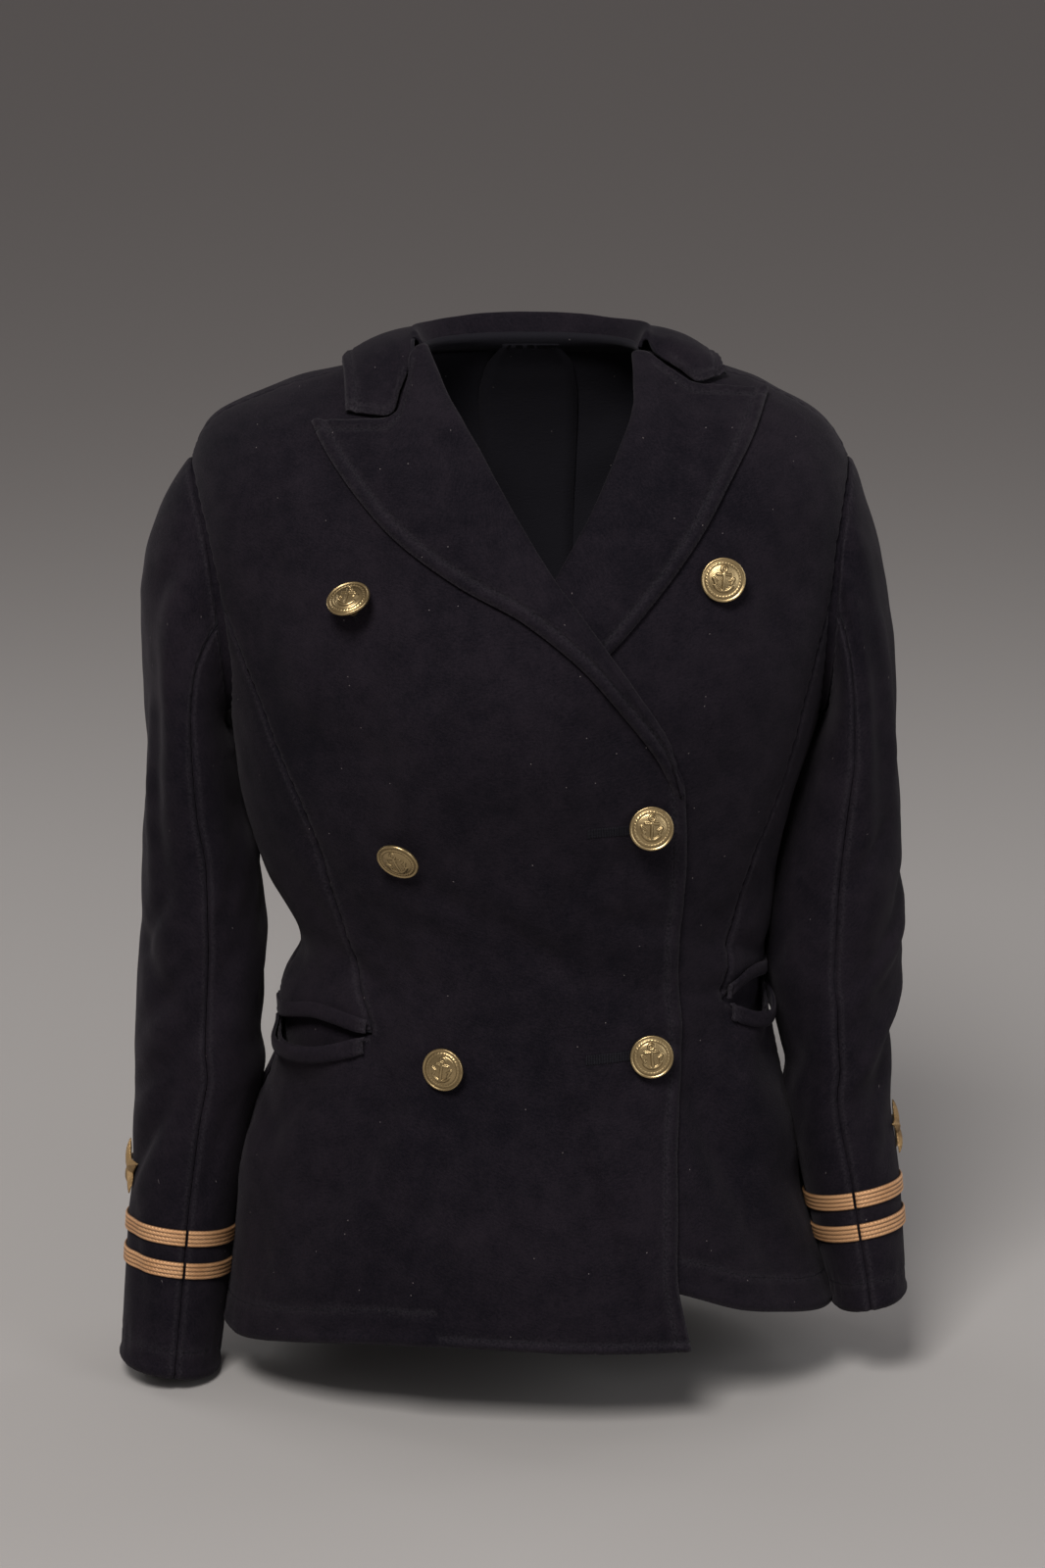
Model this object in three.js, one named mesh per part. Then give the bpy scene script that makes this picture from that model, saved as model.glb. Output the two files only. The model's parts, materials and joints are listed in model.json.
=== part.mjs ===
// Double-breasted military jacket, held in its worn shape with nothing inside.
// Millimetres, +Z up, the front faces -Y, +X is the wearer's left.
// The origin is the middle of the neck opening, level with the top of the shoulder seams.
import * as THREE from 'three';

// Driving dimensions
const CLOTH = 2;          // thickness of the heavy knit
const SEAM = 0.6;         // left open between two sewn pieces
const LAP = 3.6;          // how far the lapped front stands out over the other one
const ROLL = 2.6;         // how far a lapel's fold reaches past the front panel's edge
const FRONT_POWER = 2.3;  // squareness of the body's section in front
const BACK_POWER = 2.4;   // and behind
const ARMHOLE = { middle: -135, half: 74, front: 50, back: 47 };
const BREAK = -209;       // where the armholes end below

// The body's section: height, half-widths at the side seams, depths in front and behind
const BODY = [
  { z: 4, right: 52, left: 52, front: 9, back: 45 },
  { z: 0, right: 60, left: 60, front: 17, back: 48 },
  { z: -10, right: 95, left: 95, front: 29, back: 58 },
  { z: -17, right: 127, left: 125, front: 39, back: 64 },
  { z: -27, right: 154, left: 145, front: 53, back: 70 },
  { z: -37, right: 178, left: 163, front: 66, back: 76 },
  { z: -48, right: 186, left: 172, front: 76, back: 81 },
  { z: -61, right: 191, left: 179, front: 87, back: 86 },
  { z: -85, right: 192, left: 183, front: 99, back: 92 },
  { z: -115, right: 189, left: 182, front: 110, back: 96 },
  { z: -145, right: 183, left: 178, front: 119, back: 97 },
  { z: -178, right: 175, left: 172, front: 123, back: 95 },
  { z: -210, right: 170, left: 164, front: 121, back: 92 },
  { z: -250, right: 166, left: 152, front: 114, back: 86 },
  { z: -295, right: 154, left: 143, front: 104, back: 79 },
  { z: -325, right: 137, left: 139, front: 98, back: 75 },
  { z: -345, right: 131, left: 136, front: 96, back: 75 },
  { z: -370, right: 146, left: 135, front: 97, back: 78 },
  { z: -400, right: 146, left: 141, front: 102, back: 87 },
  { z: -440, right: 161, left: 150, front: 112, back: 100 },
  { z: -480, right: 169, left: 160, front: 119, back: 107 },
  { z: -520, right: 175, left: 169, front: 124, back: 112 },
  { z: -560, right: 180, left: 181, front: 128, back: 116 },
  { z: -600, right: 185, left: 193, front: 131, back: 119 },
];

// Heights of the rows of points on every body panel, at the middle of the front
const ROWS = [
  -2, -8, -16, -25, -36, -48, -61, -78, -96, -112, -127, -146, -166, -187, -209, -232, -255,
  -279, -303, -324, -342, -362, -376, -391, -409, -432, -456, -480, -504, -528, -550,
];

// The free edge of each front, from the neck down the roll line and the front edge
const EDGE_RIGHT = [
  { z: 0, x: -60 }, { z: -24, x: -47 }, { z: -48, x: -30 }, { z: -83, x: -8 },
  { z: -112, x: 11 }, { z: -140, x: 32 }, { z: -171, x: 55 }, { z: -200, x: 73 },
  { z: -228, x: 84 }, { z: -270, x: 85.5 }, { z: -332, x: 82 }, { z: -389, x: 85 },
  { z: -446, x: 82 }, { z: -503, x: 82 }, { z: -551, x: 90 },
];
const EDGE_LEFT = [
  { z: 0, x: 60 }, { z: -22, x: 60 }, { z: -45, x: 51 }, { z: -70, x: 39 }, { z: -96, x: 24 },
  { z: -122, x: 8 }, { z: -147, x: -10 }, { z: -170, x: -26 }, { z: -190, x: -40 },
  { z: -215, x: -58 }, { z: -240, x: -64 }, { z: -551, x: -64 },
];

// The princess seams, from the armhole down to the pocket's inner end
const PRINCESS_RIGHT = [
  { z: -127, x: -176 }, { z: -161, x: -162 }, { z: -207, x: -144 }, { z: -247, x: -126 },
  { z: -297, x: -112 }, { z: -348, x: -98 }, { z: -376, x: -90 }, { z: -551, x: -88 },
];
const PRINCESS_LEFT = [
  { z: -112, x: 174 }, { z: -135, x: 167 }, { z: -162, x: 160 }, { z: -234, x: 142 },
  { z: -281, x: 125 }, { z: -320, x: 117 }, { z: -362, x: 110 }, { z: -551, x: 106 },
];

// How far the hem hangs above or below the last row, across the front and behind
const HEM = [
  { x: -185, rise: -25 }, { x: -136, rise: -8 }, { x: -100, rise: -1 }, { x: -50, rise: 3 },
  { x: 32, rise: 0 }, { x: 90, rise: -3 },
];
const HEM_UNDERLAP = [
  { x: 80, rise: 33 }, { x: 100, rise: 25 }, { x: 122, rise: 15 }, { x: 150, rise: 5 },
  { x: 192, rise: -16 },
];
const HEM_BACK = [{ x: -185, rise: -25 }, { x: 0, rise: -40 }, { x: 192, rise: -16 }];

// Pockets: the row that the mouth follows, its inner end, how far it slopes and gapes,
// and how far the pocketing lies inside
const POCKETS = {
  right: { row: -376, inner: -90, slope: -5, gape: 13, drop: 8, rise: 6, inset: 3.8 },
  left: { row: -362, inner: 110, slope: -2, gape: 10, drop: 10, rise: 8, inset: 2.7 },
};

// The main folds of the body, each a straight soft trough (or ridge, with a positive depth)
const FOLDS = [
  { x1: -62, z1: -392, x2: -150, z2: -520, width: 15, depth: -5, front: true },
  { x1: -100, z1: -400, x2: -170, z2: -480, width: 11, depth: 3, front: true },
  { x1: -154, z1: -425, x2: -146, z2: -458, width: 9, depth: -3, front: true },
  { x1: 8, z1: -355, x2: 54, z2: -505, width: 20, depth: -4, front: true },
  { x1: 40, z1: -345, x2: 78, z2: -352, width: 12, depth: -3, front: true },
  { x1: 90, z1: -388, x2: 122, z2: -448, width: 13, depth: -7, front: true },
  { x1: 122, z1: -448, x2: 168, z2: -505, width: 13, depth: -6, front: true },
  { x1: 112, z1: -400, x2: 150, z2: -462, width: 12, depth: 5, front: true },
  { x1: -118, z1: -300, x2: -60, z2: -338, width: 13, depth: -3, front: true },
  { x1: -40, z1: -318, x2: 40, z2: -330, width: 15, depth: -3, front: true },
  { x1: 136, z1: -290, x2: 96, z2: -335, width: 12, depth: -3.5, front: true },
  { x1: -150, z1: -190, x2: -96, z2: -225, width: 16, depth: -2.5, front: true },
  { x1: -110, z1: -285, x2: -20, z2: -342, width: 15, depth: -4, front: false },
  { x1: 115, z1: -280, x2: 24, z2: -345, width: 15, depth: -4, front: false },
  { x1: -60, z1: -392, x2: -120, z2: -540, width: 18, depth: -4, front: false },
  { x1: 66, z1: -385, x2: 104, z2: -535, width: 18, depth: -4, front: false },
  { x1: -150, z1: -170, x2: -90, z2: -215, width: 14, depth: -3, front: false },
  { x1: 148, z1: -168, x2: 92, z2: -210, width: 14, depth: -3, front: false },
];

// Sleeves below the cap: distance from the middle of the outer and inner side, half-depth,
// the section's middle in y, and how much the section's front and outer side are raised.
// Swell is how far the cap leaves the armhole sideways.
const SLEEVES = {
  right: {
    sign: -1, frontSeam: 100, backSeam: -78, hem: -598, swell: 0.66,
    rings: [
      { z: -230, outer: 221, inner: 171.5, depth: 62, y: 6, front: 0.02, side: 0 },
      { z: -262, outer: 223, inner: 168, depth: 59, y: 7, front: 0.02, side: 0 },
      { z: -297, outer: 224.5, inner: 158.5, depth: 56, y: 8, front: 0.02, side: 0 },
      { z: -340, outer: 227, inner: 153, depth: 53, y: 8, front: 0.03, side: 0 },
      { z: -406, outer: 230, inner: 157, depth: 49, y: 4, front: 0.06, side: 0.02 },
      { z: -450, outer: 232, inner: 168.5, depth: 44, y: -1, front: 0.1, side: 0.08 },
      { z: -510, outer: 235.5, inner: 178.5, depth: 39, y: -10, front: 0.14, side: 0.12 },
      { z: -560, outer: 238.5, inner: 183, depth: 37, y: -17, front: 0.13, side: 0.14 },
      { z: -598, outer: 241, inner: 186, depth: 36, y: -23, front: 0.1, side: 0.16 },
    ],
    folds: [
      { a1: 42, z1: -130, a2: 55, z2: -300, width: 11, depth: -4 },
      { a1: 20, z1: -150, a2: 14, z2: -260, width: 12, depth: -3 },
      { a1: 150, z1: -310, a2: 60, z2: -425, width: 12, depth: -4 },
      { a1: 80, z1: -420, a2: 10, z2: -485, width: 10, depth: -4 },
      { a1: 15, z1: -330, a2: 70, z2: -375, width: 10, depth: -3 },
      { a1: -60, z1: -300, a2: -20, z2: -360, width: 11, depth: -4 },
      { a1: -90, z1: -370, a2: -40, z2: -420, width: 11, depth: -3 },
    ],
  },
  left: {
    sign: 1, frontSeam: 94, backSeam: -78, hem: -557, swell: 0.36,
    rings: [
      { z: -230, outer: 210, inner: 162.5, depth: 60, y: 4, front: 0.02, side: 0 },
      { z: -258, outer: 213, inner: 155, depth: 58, y: 5, front: 0.02, side: 0 },
      { z: -300, outer: 216, inner: 146.5, depth: 55, y: 5, front: 0.03, side: 0.02 },
      { z: -340, outer: 219, inner: 142, depth: 52, y: 4, front: 0.05, side: 0.04 },
      { z: -370, outer: 217, inner: 141.5, depth: 50, y: 2, front: 0.07, side: 0.06 },
      { z: -400, outer: 212, inner: 147, depth: 48, y: 0, front: 0.09, side: 0.08 },
      { z: -440, outer: 210, inner: 156.5, depth: 43, y: -4, front: 0.13, side: 0.14 },
      { z: -490, outer: 216, inner: 168, depth: 39, y: -11, front: 0.18, side: 0.2 },
      { z: -530, outer: 219, inner: 175.5, depth: 37, y: -18, front: 0.18, side: 0.2 },
      { z: -557, outer: 220, inner: 181, depth: 36, y: -23, front: 0.14, side: 0.2 },
    ],
    folds: [
      { a1: -10, z1: -292, a2: 70, z2: -340, width: 11, depth: -5 },
      { a1: -5, z1: -335, a2: 85, z2: -392, width: 11, depth: -6 },
      { a1: -20, z1: -380, a2: 75, z2: -432, width: 10, depth: -5 },
      { a1: 100, z1: -350, a2: 160, z2: -420, width: 11, depth: -4 },
      { a1: 60, z1: -140, a2: 52, z2: -285, width: 11, depth: -4 },
      { a1: 24, z1: -130, a2: 18, z2: -240, width: 12, depth: -3 },
      { a1: -70, z1: -310, a2: -25, z2: -360, width: 11, depth: -4 },
      { a1: -80, z1: -390, a2: -30, z2: -430, width: 10, depth: -4 },
    ],
  },
};
const SLEEVE_POWER = 2.15;   // squareness of a sleeve's section
const CAP_END = -230;        // where the sleeve cap ends
const CAP_STEPS = [0, 0.14, 0.3, 0.47, 0.64, 0.82];

// Lapels: pairs of points on the roll line and on the outer edge, from the gorge to the break
const LAPELS = {
  right: {
    gorge: { x: -77, z: -32 },
    rows: [
      { rollX: -60, rollZ: -1, edgeX: -121, edgeZ: -33 },
      { rollX: -54, rollZ: -12, edgeX: -115, edgeZ: -43 },
      { rollX: -47, rollZ: -24, edgeX: -107, edgeZ: -54 },
      { rollX: -30, rollZ: -48, edgeX: -77, edgeZ: -87 },
      { rollX: -8, rollZ: -83, edgeX: -40, edgeZ: -113 },
      { rollX: 11, rollZ: -112, edgeX: -3, edgeZ: -133 },
      { rollX: 32, rollZ: -140, edgeX: 25, edgeZ: -154 },
      { rollX: 55, rollZ: -171, edgeX: 49, edgeZ: -181 },
      { rollX: 73, rollZ: -200, edgeX: 67, edgeZ: -206 },
      { rollX: 84, rollZ: -228, edgeX: 79, edgeZ: -231 },
    ],
  },
  left: {
    gorge: { x: 92, z: -17 },
    rows: [
      { rollX: 60, rollZ: -1, edgeX: 132, edgeZ: -21 },
      { rollX: 60, rollZ: -11, edgeX: 127, edgeZ: -31 },
      { rollX: 60, rollZ: -22, edgeX: 121, edgeZ: -42 },
      { rollX: 51, rollZ: -45, edgeX: 108, edgeZ: -63 },
      { rollX: 39, rollZ: -70, edgeX: 94, edgeZ: -86 },
      { rollX: 24, rollZ: -96, edgeX: 78, edgeZ: -108 },
      { rollX: 8, rollZ: -122, edgeX: 57, edgeZ: -133 },
      { rollX: -10, rollZ: -147, edgeX: 38, edgeZ: -152 },
      { rollX: -26, rollZ: -170, edgeX: 8, edgeZ: -174 },
      { rollX: -40, rollZ: -190, edgeX: -32, edgeZ: -193 },
    ],
  },
};

// Collar: angle on the neckline, how far its fold stands out and up, and its outer edge
const COLLAR = [
  { angle: -90, out: 5, up: 9, edgeX: -104, edgeY: -20 },
  { angle: -106, out: 7, up: 10, edgeX: -106, edgeY: 6 },
  { angle: -123, out: 7, up: 9.5, edgeX: -98, edgeY: 32 },
  { angle: -142, out: 7, up: 10, edgeX: -76, edgeY: 55 },
  { angle: -161, out: 7, up: 11, edgeX: -40, edgeY: 69 },
  { angle: -180, out: 7, up: 11.5, edgeX: 0, edgeY: 73 },
  { angle: -199, out: 7, up: 11, edgeX: 40, edgeY: 69 },
  { angle: -218, out: 7, up: 10, edgeX: 76, edgeY: 55 },
  { angle: -237, out: 7, up: 10.5, edgeX: 98, edgeY: 32 },
  { angle: -254, out: 7, up: 11, edgeX: 106, edgeY: 8 },
  { angle: -270, out: 5, up: 9, edgeX: 108, edgeY: -10 },
];
const COLLAR_ENDS = {
  right: { corner: { x: -77, z: -32 }, tip: { x: -101, z: -30 } },
  left: { corner: { x: 92, z: -17 }, tip: { x: 108, z: -15 } },
};
const FALL_LIFT = 5.4;       // the collar's outer edge above the shoulder

// Braid and emblem on each cuff, measured along the sleeve
const BRAID = { width: 9.5, thick: 1.1, rows: { right: [-511, -530], left: [-489, -507.5] } };
const STAR = { points: 5, outer: 17, inner: 7.6, thick: 2.4, z: { right: -486, left: -463 } };

// Buttons: place on the front, and where each faces: degrees to the wearer's left and upwards
const BUTTON = { radius: 12.2, rim: 2, shank: 2.6, dome: 3.6, clear: 0.9, sides: 16 };
const BUTTONS = [
  { x: -95, z: -130, on: 'front_right', turn: -27, rise: 55 },
  { x: 104, z: -112, on: 'front_left', turn: 4, rise: 14 },
  { x: -70, z: -262, on: 'front_right', turn: -23, rise: -30 },
  { x: 64.5, z: -246, on: 'front_right', turn: 4, rise: 10 },
  { x: -46.5, z: -390, on: 'front_right', turn: -22, rise: 4 },
  { x: 66.5, z: -385, on: 'front_right', turn: 3, rise: 10 },
];

const rad = THREE.MathUtils.degToRad;
const clamp = THREE.MathUtils.clamp;
const lerp = THREE.MathUtils.lerp;

// A smooth curve through a table's rows that never swings past them
function track(rows, along, key) {
  const sorted = [...rows].sort((p, q) => p[along] - q[along]);
  const at = sorted.map((row) => row[along]);
  const value = sorted.map((row) => row[key]);
  const rise = at.slice(1).map((end, i) => (value[i + 1] - value[i]) / (end - at[i]));
  const slope = value.map((_, i) => {
    if (i === 0) return rise[0];
    if (i === value.length - 1) return rise[i - 1];
    if (rise[i - 1] * rise[i] <= 0) return 0;
    return (2 * rise[i - 1] * rise[i]) / (rise[i - 1] + rise[i]);
  });
  return (where) => {
    const w = clamp(where, at[0], at[at.length - 1]);
    let i = 0;
    while (i < at.length - 2 && w > at[i + 1]) i += 1;
    const span = at[i + 1] - at[i];
    const u = (w - at[i]) / span;
    const v = u - 1;
    return (
      (1 + 2 * u) * v * v * value[i] + u * v * v * span * slope[i] +
      u * u * (3 - 2 * u) * value[i + 1] + u * u * v * span * slope[i + 1]
    );
  };
}

const body = {};
for (const key of ['right', 'left', 'front', 'back']) body[key] = track(BODY, 'z', key);
const edge = { right: track(EDGE_RIGHT, 'z', 'x'), left: track(EDGE_LEFT, 'z', 'x') };
const princess = {
  right: track(PRINCESS_RIGHT, 'z', 'x'),
  left: track(PRINCESS_LEFT, 'z', 'x'),
};
const hem = {
  front_right: track(HEM, 'x', 'rise'),
  front_left: track(HEM_UNDERLAP, 'x', 'rise'),
  back: track(HEM_BACK, 'x', 'rise'),
};

// One soft trough: full depth along the line, fading at its ends and to each side
function trough(fold, px, pz, qx, qz, x, z) {
  const dx = qx - px;
  const dz = qz - pz;
  const along = clamp(((x - px) * dx + (z - pz) * dz) / (dx * dx + dz * dz), 0, 1);
  const gap = Math.hypot(x - px - along * dx, z - pz - along * dz);
  const ends = 0.35 + 0.65 * Math.sin(Math.PI * clamp(along * 0.9 + 0.05, 0, 1));
  return fold.depth * ends * Math.exp(-((gap / fold.width) ** 2));
}

function bodyFold(x, z, isFront) {
  let depth = 0;
  for (const fold of FOLDS) {
    if (fold.front !== isFront) continue;
    depth += trough(fold, fold.x1, fold.z1, fold.x2, fold.z2, x, z);
  }
  return depth;
}

// A point of the body: angle 0 is the middle of the front, 90 the wearer's left side seam
function bodySkin(angle, z) {
  const s = Math.sin(angle);
  const c = Math.cos(angle);
  const power = c > 0 ? FRONT_POWER : BACK_POWER;
  const half = s < 0 ? body.right(z) : body.left(z);
  const deep = c > 0 ? body.front(z) : body.back(z);
  return new THREE.Vector3(
    Math.sign(s) * half * Math.abs(s) ** (2 / power),
    -Math.sign(c) * deep * Math.abs(c) ** (2 / power),
    z,
  );
}

// The same point moved out of the cloth's outer face, folds included
function bodyPoint(angle, z, out = 0) {
  const step = 0.01;
  const here = bodySkin(angle, z);
  const across = bodySkin(angle + step, z).sub(bodySkin(angle - step, z));
  const down = bodySkin(angle, z - 1).sub(bodySkin(angle, z + 1));
  const normal = across.cross(down).normalize().negate();
  const fold = bodyFold(here.x, z, Math.cos(angle) > 0);
  here.addScaledVector(normal, out + fold);
  here.face = normal;
  return here;
}

function frontAngle(x, z) {
  const half = x < 0 ? body.right(z) : body.left(z);
  const share = clamp(Math.abs(x) / half, 0, 1);
  return Math.sign(x) * Math.asin(share ** (FRONT_POWER / 2));
}

function frontPoint(x, z, out) {
  return bodyPoint(frontAngle(x, z), z, out);
}

// How far the right front stands out: over the other front, and more over its lapel
function lapOut(x, z) {
  const lapped = THREE.MathUtils.smoothstep(x, -90, -64);
  const low = clamp(-z - 95, 0, 95) / 95;
  const middle = lerp(50, -22, low);
  const near = 1 - THREE.MathUtils.smoothstep(Math.abs(x - middle), 30, 78);
  const band = THREE.MathUtils.smoothstep(-z, 78, 112)
    * (1 - THREE.MathUtils.smoothstep(-z, 196, 262));
  return LAP * lapped + 5.2 * near * band;
}

// A row's height at a place: it bends with the pocket mouth and meets the hem
function rowHeight(row, x, side, hemCurve) {
  const pocket = POCKETS[side];
  const away = Math.abs(x) - Math.abs(pocket.inner);
  const slant = pocket.slope * clamp(away / 55, 0, 1) * Math.exp(-(((row - pocket.row) / 55) ** 2));
  const low = clamp((-400 - row) / 150, 0, 1);
  return row + (x * (side === 'left' ? 1 : -1) > 0 ? slant : 0) + hemCurve(x) * low * low;
}

// 0 to 1 to 0 along a pocket's mouth, from its inner end to the side seam
function mouth(x, side) {
  const pocket = POCKETS[side];
  const z = pocket.row + pocket.slope;
  const reach = (body[side](z) - Math.abs(pocket.inner));
  const share = clamp((Math.abs(x) - Math.abs(pocket.inner)) / reach, 0, 1);
  const sameSide = Math.sign(x) === Math.sign(pocket.inner);
  return sameSide ? Math.sin(Math.PI * share ** 1.3) : 0;
}

// A sheet of cloth: points of its outer face, a wall inside them, closed all round its edge.
// A panel's wall goes in along the skin's own direction, a folded piece's along its faces'.
function sheet(name, material, grid, { keep = () => true, thick = CLOTH, panel = false } = {}) {
  const rows = grid.length;
  const cols = grid[0].length;
  const at = (j, i) => j * cols + i;
  const quads = [];
  for (let j = 0; j < rows - 1; j += 1) {
    for (let i = 0; i < cols - 1; i += 1) {
      if (keep(j, i)) quads.push([at(j, i), at(j + 1, i), at(j + 1, i + 1), at(j, i + 1)]);
    }
  }
  const outer = grid.flat();
  const normals = outer.map(() => new THREE.Vector3());
  for (const [a, b, c, d] of quads) {
    const first = outer[c].clone().sub(outer[a]);
    const second = outer[d].clone().sub(outer[b]);
    const normal = first.cross(second);
    for (const corner of [a, b, c, d]) normals[corner].add(normal);
  }
  const inner = outer.map((point, i) => {
    const direction = panel ? point.face : normals[i].normalize();
    return point.clone().addScaledVector(direction, -thick);
  });
  const edges = new Map();
  const faces = [];
  const count = outer.length;
  for (const quad of quads) {
    const [a, b, c, d] = quad;
    faces.push(a, b, c, a, c, d);
    faces.push(a + count, c + count, b + count, a + count, d + count, c + count);
    quad.forEach((from, k) => {
      const to = quad[(k + 1) % 4];
      const back = `${to},${from}`;
      if (edges.has(back)) edges.delete(back);
      else edges.set(`${from},${to}`, [from, to]);
    });
  }
  for (const [from, to] of edges.values()) {
    faces.push(from, from + count, to + count, from, to + count, to);
  }
  return closed(name, material, [...outer, ...inner], faces);
}

// A mesh of only the points that its faces use
function closed(name, material, points, faces) {
  const place = new Map();
  const values = [];
  const index = faces.map((corner) => {
    if (!place.has(corner)) {
      place.set(corner, place.size);
      values.push(points[corner].x, points[corner].y, points[corner].z);
    }
    return place.get(corner);
  });
  const geometry = new THREE.BufferGeometry();
  geometry.setAttribute('position', new THREE.Float32BufferAttribute(values, 3));
  geometry.setIndex(index);
  geometry.computeVertexNormals();
  const mesh = new THREE.Mesh(geometry, material);
  mesh.name = name;
  return mesh;
}

// Materials
const finish = {
  knit: new THREE.MeshStandardMaterial({ color: 0x18161e, roughness: 0.95, metalness: 0 }),
  brass: new THREE.MeshStandardMaterial({ color: 0x96783f, roughness: 0.42, metalness: 0.9 }),
  braid: new THREE.MeshStandardMaterial({ color: 0xbe874b, roughness: 0.55, metalness: 0.5 }),
  bullion: new THREE.MeshStandardMaterial({ color: 0xb98a4a, roughness: 0.5, metalness: 0.6 }),
};
const cloth = () => finish.knit.clone();

const jacket = new THREE.Group();

// The armhole's edge on the body at a height, as an angle of the section
function armholeAngle(z, side, isFront) {
  const share = (z - ARMHOLE.middle) / ARMHOLE.half;
  const reach = (isFront ? ARMHOLE.front : ARMHOLE.back) * Math.sqrt(Math.max(0, 1 - share * share));
  const deep = isFront ? body.front(z) : body.back(z);
  const power = isFront ? FRONT_POWER : BACK_POWER;
  const fromSide = Math.PI / 2 - Math.acos(clamp((reach / deep) ** (power / 2), 0, 1));
  const sign = side === 'left' ? 1 : -1;
  return sign * (Math.PI / 2 + (isFront ? -fromSide : fromSide));
}

// A seam allowance as an angle, near the side or the front of the body
const gapAngle = (z, share = 0.5) => (SEAM * share) / Math.min(body.right(z), body.left(z));

// Panel rows: points between two angles that change with the row
function panelRow(row, from, to, steps, side, hemCurve, out) {
  const points = [];
  for (let i = 0; i <= steps; i += 1) {
    const angle = lerp(from, to, i / steps);
    const flat = bodySkin(angle, row);
    const z = rowHeight(row, flat.x, side, hemCurve);
    const extra = out(flat.x, z, row);
    points.push(bodyPoint(angle, z + (extra.z ?? 0), extra.out ?? extra));
  }
  return points;
}

const MAIN_STEPS = { right: 13, left: 11 };
const SKIRT_STEPS = 4;
const SIDE_STEPS = 5;
const BACK_STEPS = 9;

// Front panels, with the skirt that runs to the side seam below the pocket
function front(side) {
  const sign = side === 'left' ? 1 : -1;
  const pocket = POCKETS[side];
  const name = `front_${side}`;
  const start = side === 'left' ? -112 : -127;
  const grid = ROWS.map((row) => {
    const inner = frontAngle(edge[side](row), row);
    const gap = gapAngle(row);
    let seam = frontAngle(princess[side](row), row);
    if (row > start) seam = row > -61 ? sign * Math.PI / 2 : armholeAngle(row, side, true);
    seam -= sign * gap;
    const sideSeam = sign * (Math.PI / 2 - gap);
    const lip = (x, z) => {
      const open = row <= pocket.row ? mouth(x, side) : 0;
      const near = Math.exp(-(((row - pocket.row) / 26) ** 2));
      const rise = -(pocket.drop * open + SEAM) * (row <= pocket.row ? near : 0);
      const lapped = side === 'right' ? lapOut(x, z) : 0;
      return { out: lapped + pocket.gape * open * near, z: rise };
    };
    const skirt = panelRow(row, sideSeam, seam, SKIRT_STEPS, side, hem[name], lip);
    const main = panelRow(row, seam, inner, MAIN_STEPS[side], side, hem[name], lip);
    return [...skirt, ...main.slice(1)];
  });
  const keep = (j, i) => i >= SKIRT_STEPS || ROWS[j] <= pocket.row;
  const points = side === 'right' ? grid : grid.map((line) => line.slice().reverse());
  const last = grid[0].length - 2;
  const kept = side === 'right' ? keep : (j, i) => keep(j, last - i);
  return sheet(name, cloth(), points, { keep: kept, panel: true });
}

// Side panels between the princess seam and the side seam, down to the pocket
function sideFront(side) {
  const sign = side === 'left' ? 1 : -1;
  const pocket = POCKETS[side];
  const start = side === 'left' ? -112 : -127;
  const rows = ROWS.filter((row) => row <= start && row >= pocket.row);
  const grid = rows.map((row) => {
    const gap = gapAngle(row);
    const inner = frontAngle(princess[side](row), row) + sign * gap * 2;
    let outer = row > BREAK ? armholeAngle(row, side, true) : sign * Math.PI / 2;
    outer -= sign * gap;
    if (Math.abs(outer) < Math.abs(inner) + 0.012) outer = inner + sign * 0.012;
    const lip = (x) => {
      const near = Math.exp(-(((row - pocket.row) / 14) ** 2));
      return { out: 0, z: pocket.rise * mouth(x, side) * near + SEAM * near };
    };
    return panelRow(row, outer, inner, SIDE_STEPS, side, hem[`front_${side}`], lip);
  });
  const points = side === 'right' ? grid : grid.map((line) => line.slice().reverse());
  return sheet(`side_front_${side}`, cloth(), points, { panel: true });
}

// Back panels, sewn together down the middle
function back(side) {
  const sign = side === 'left' ? 1 : -1;
  const grid = ROWS.map((row) => {
    const gap = gapAngle(row);
    let outer = sign * Math.PI / 2;
    if (row < -61 && row > BREAK) outer = armholeAngle(row, side, false);
    outer += sign * gap;
    const middle = sign * (Math.PI - (SEAM / 2) / body.right(row));
    return panelRow(row, middle, outer, BACK_STEPS, side, hem.back, () => 0);
  });
  const points = side === 'right' ? grid : grid.map((line) => line.slice().reverse());
  return sheet(`back_${side}`, cloth(), points, { panel: true });
}

for (const side of ['right', 'left']) {
  jacket.add(front(side), sideFront(side), back(side));
}

// Lapels: each wraps its roll line and lies on the front, out to the peak
const LAPEL_WRAP = [
  { from: -ROLL - 0.2, out: -1.8 },
  { from: -ROLL - 0.6, out: 0.6 },
  { from: -1.2, out: 3.2 },
  { from: 3, out: 4.4 },
];
const LAPEL_SHARES = [0.2, 0.4, 0.6, 0.8, 1];
const LAPEL_STEPS = 16;
const GORGE_SHARE = 0.4;   // where the collar's corner comes along a lapel's top

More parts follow.
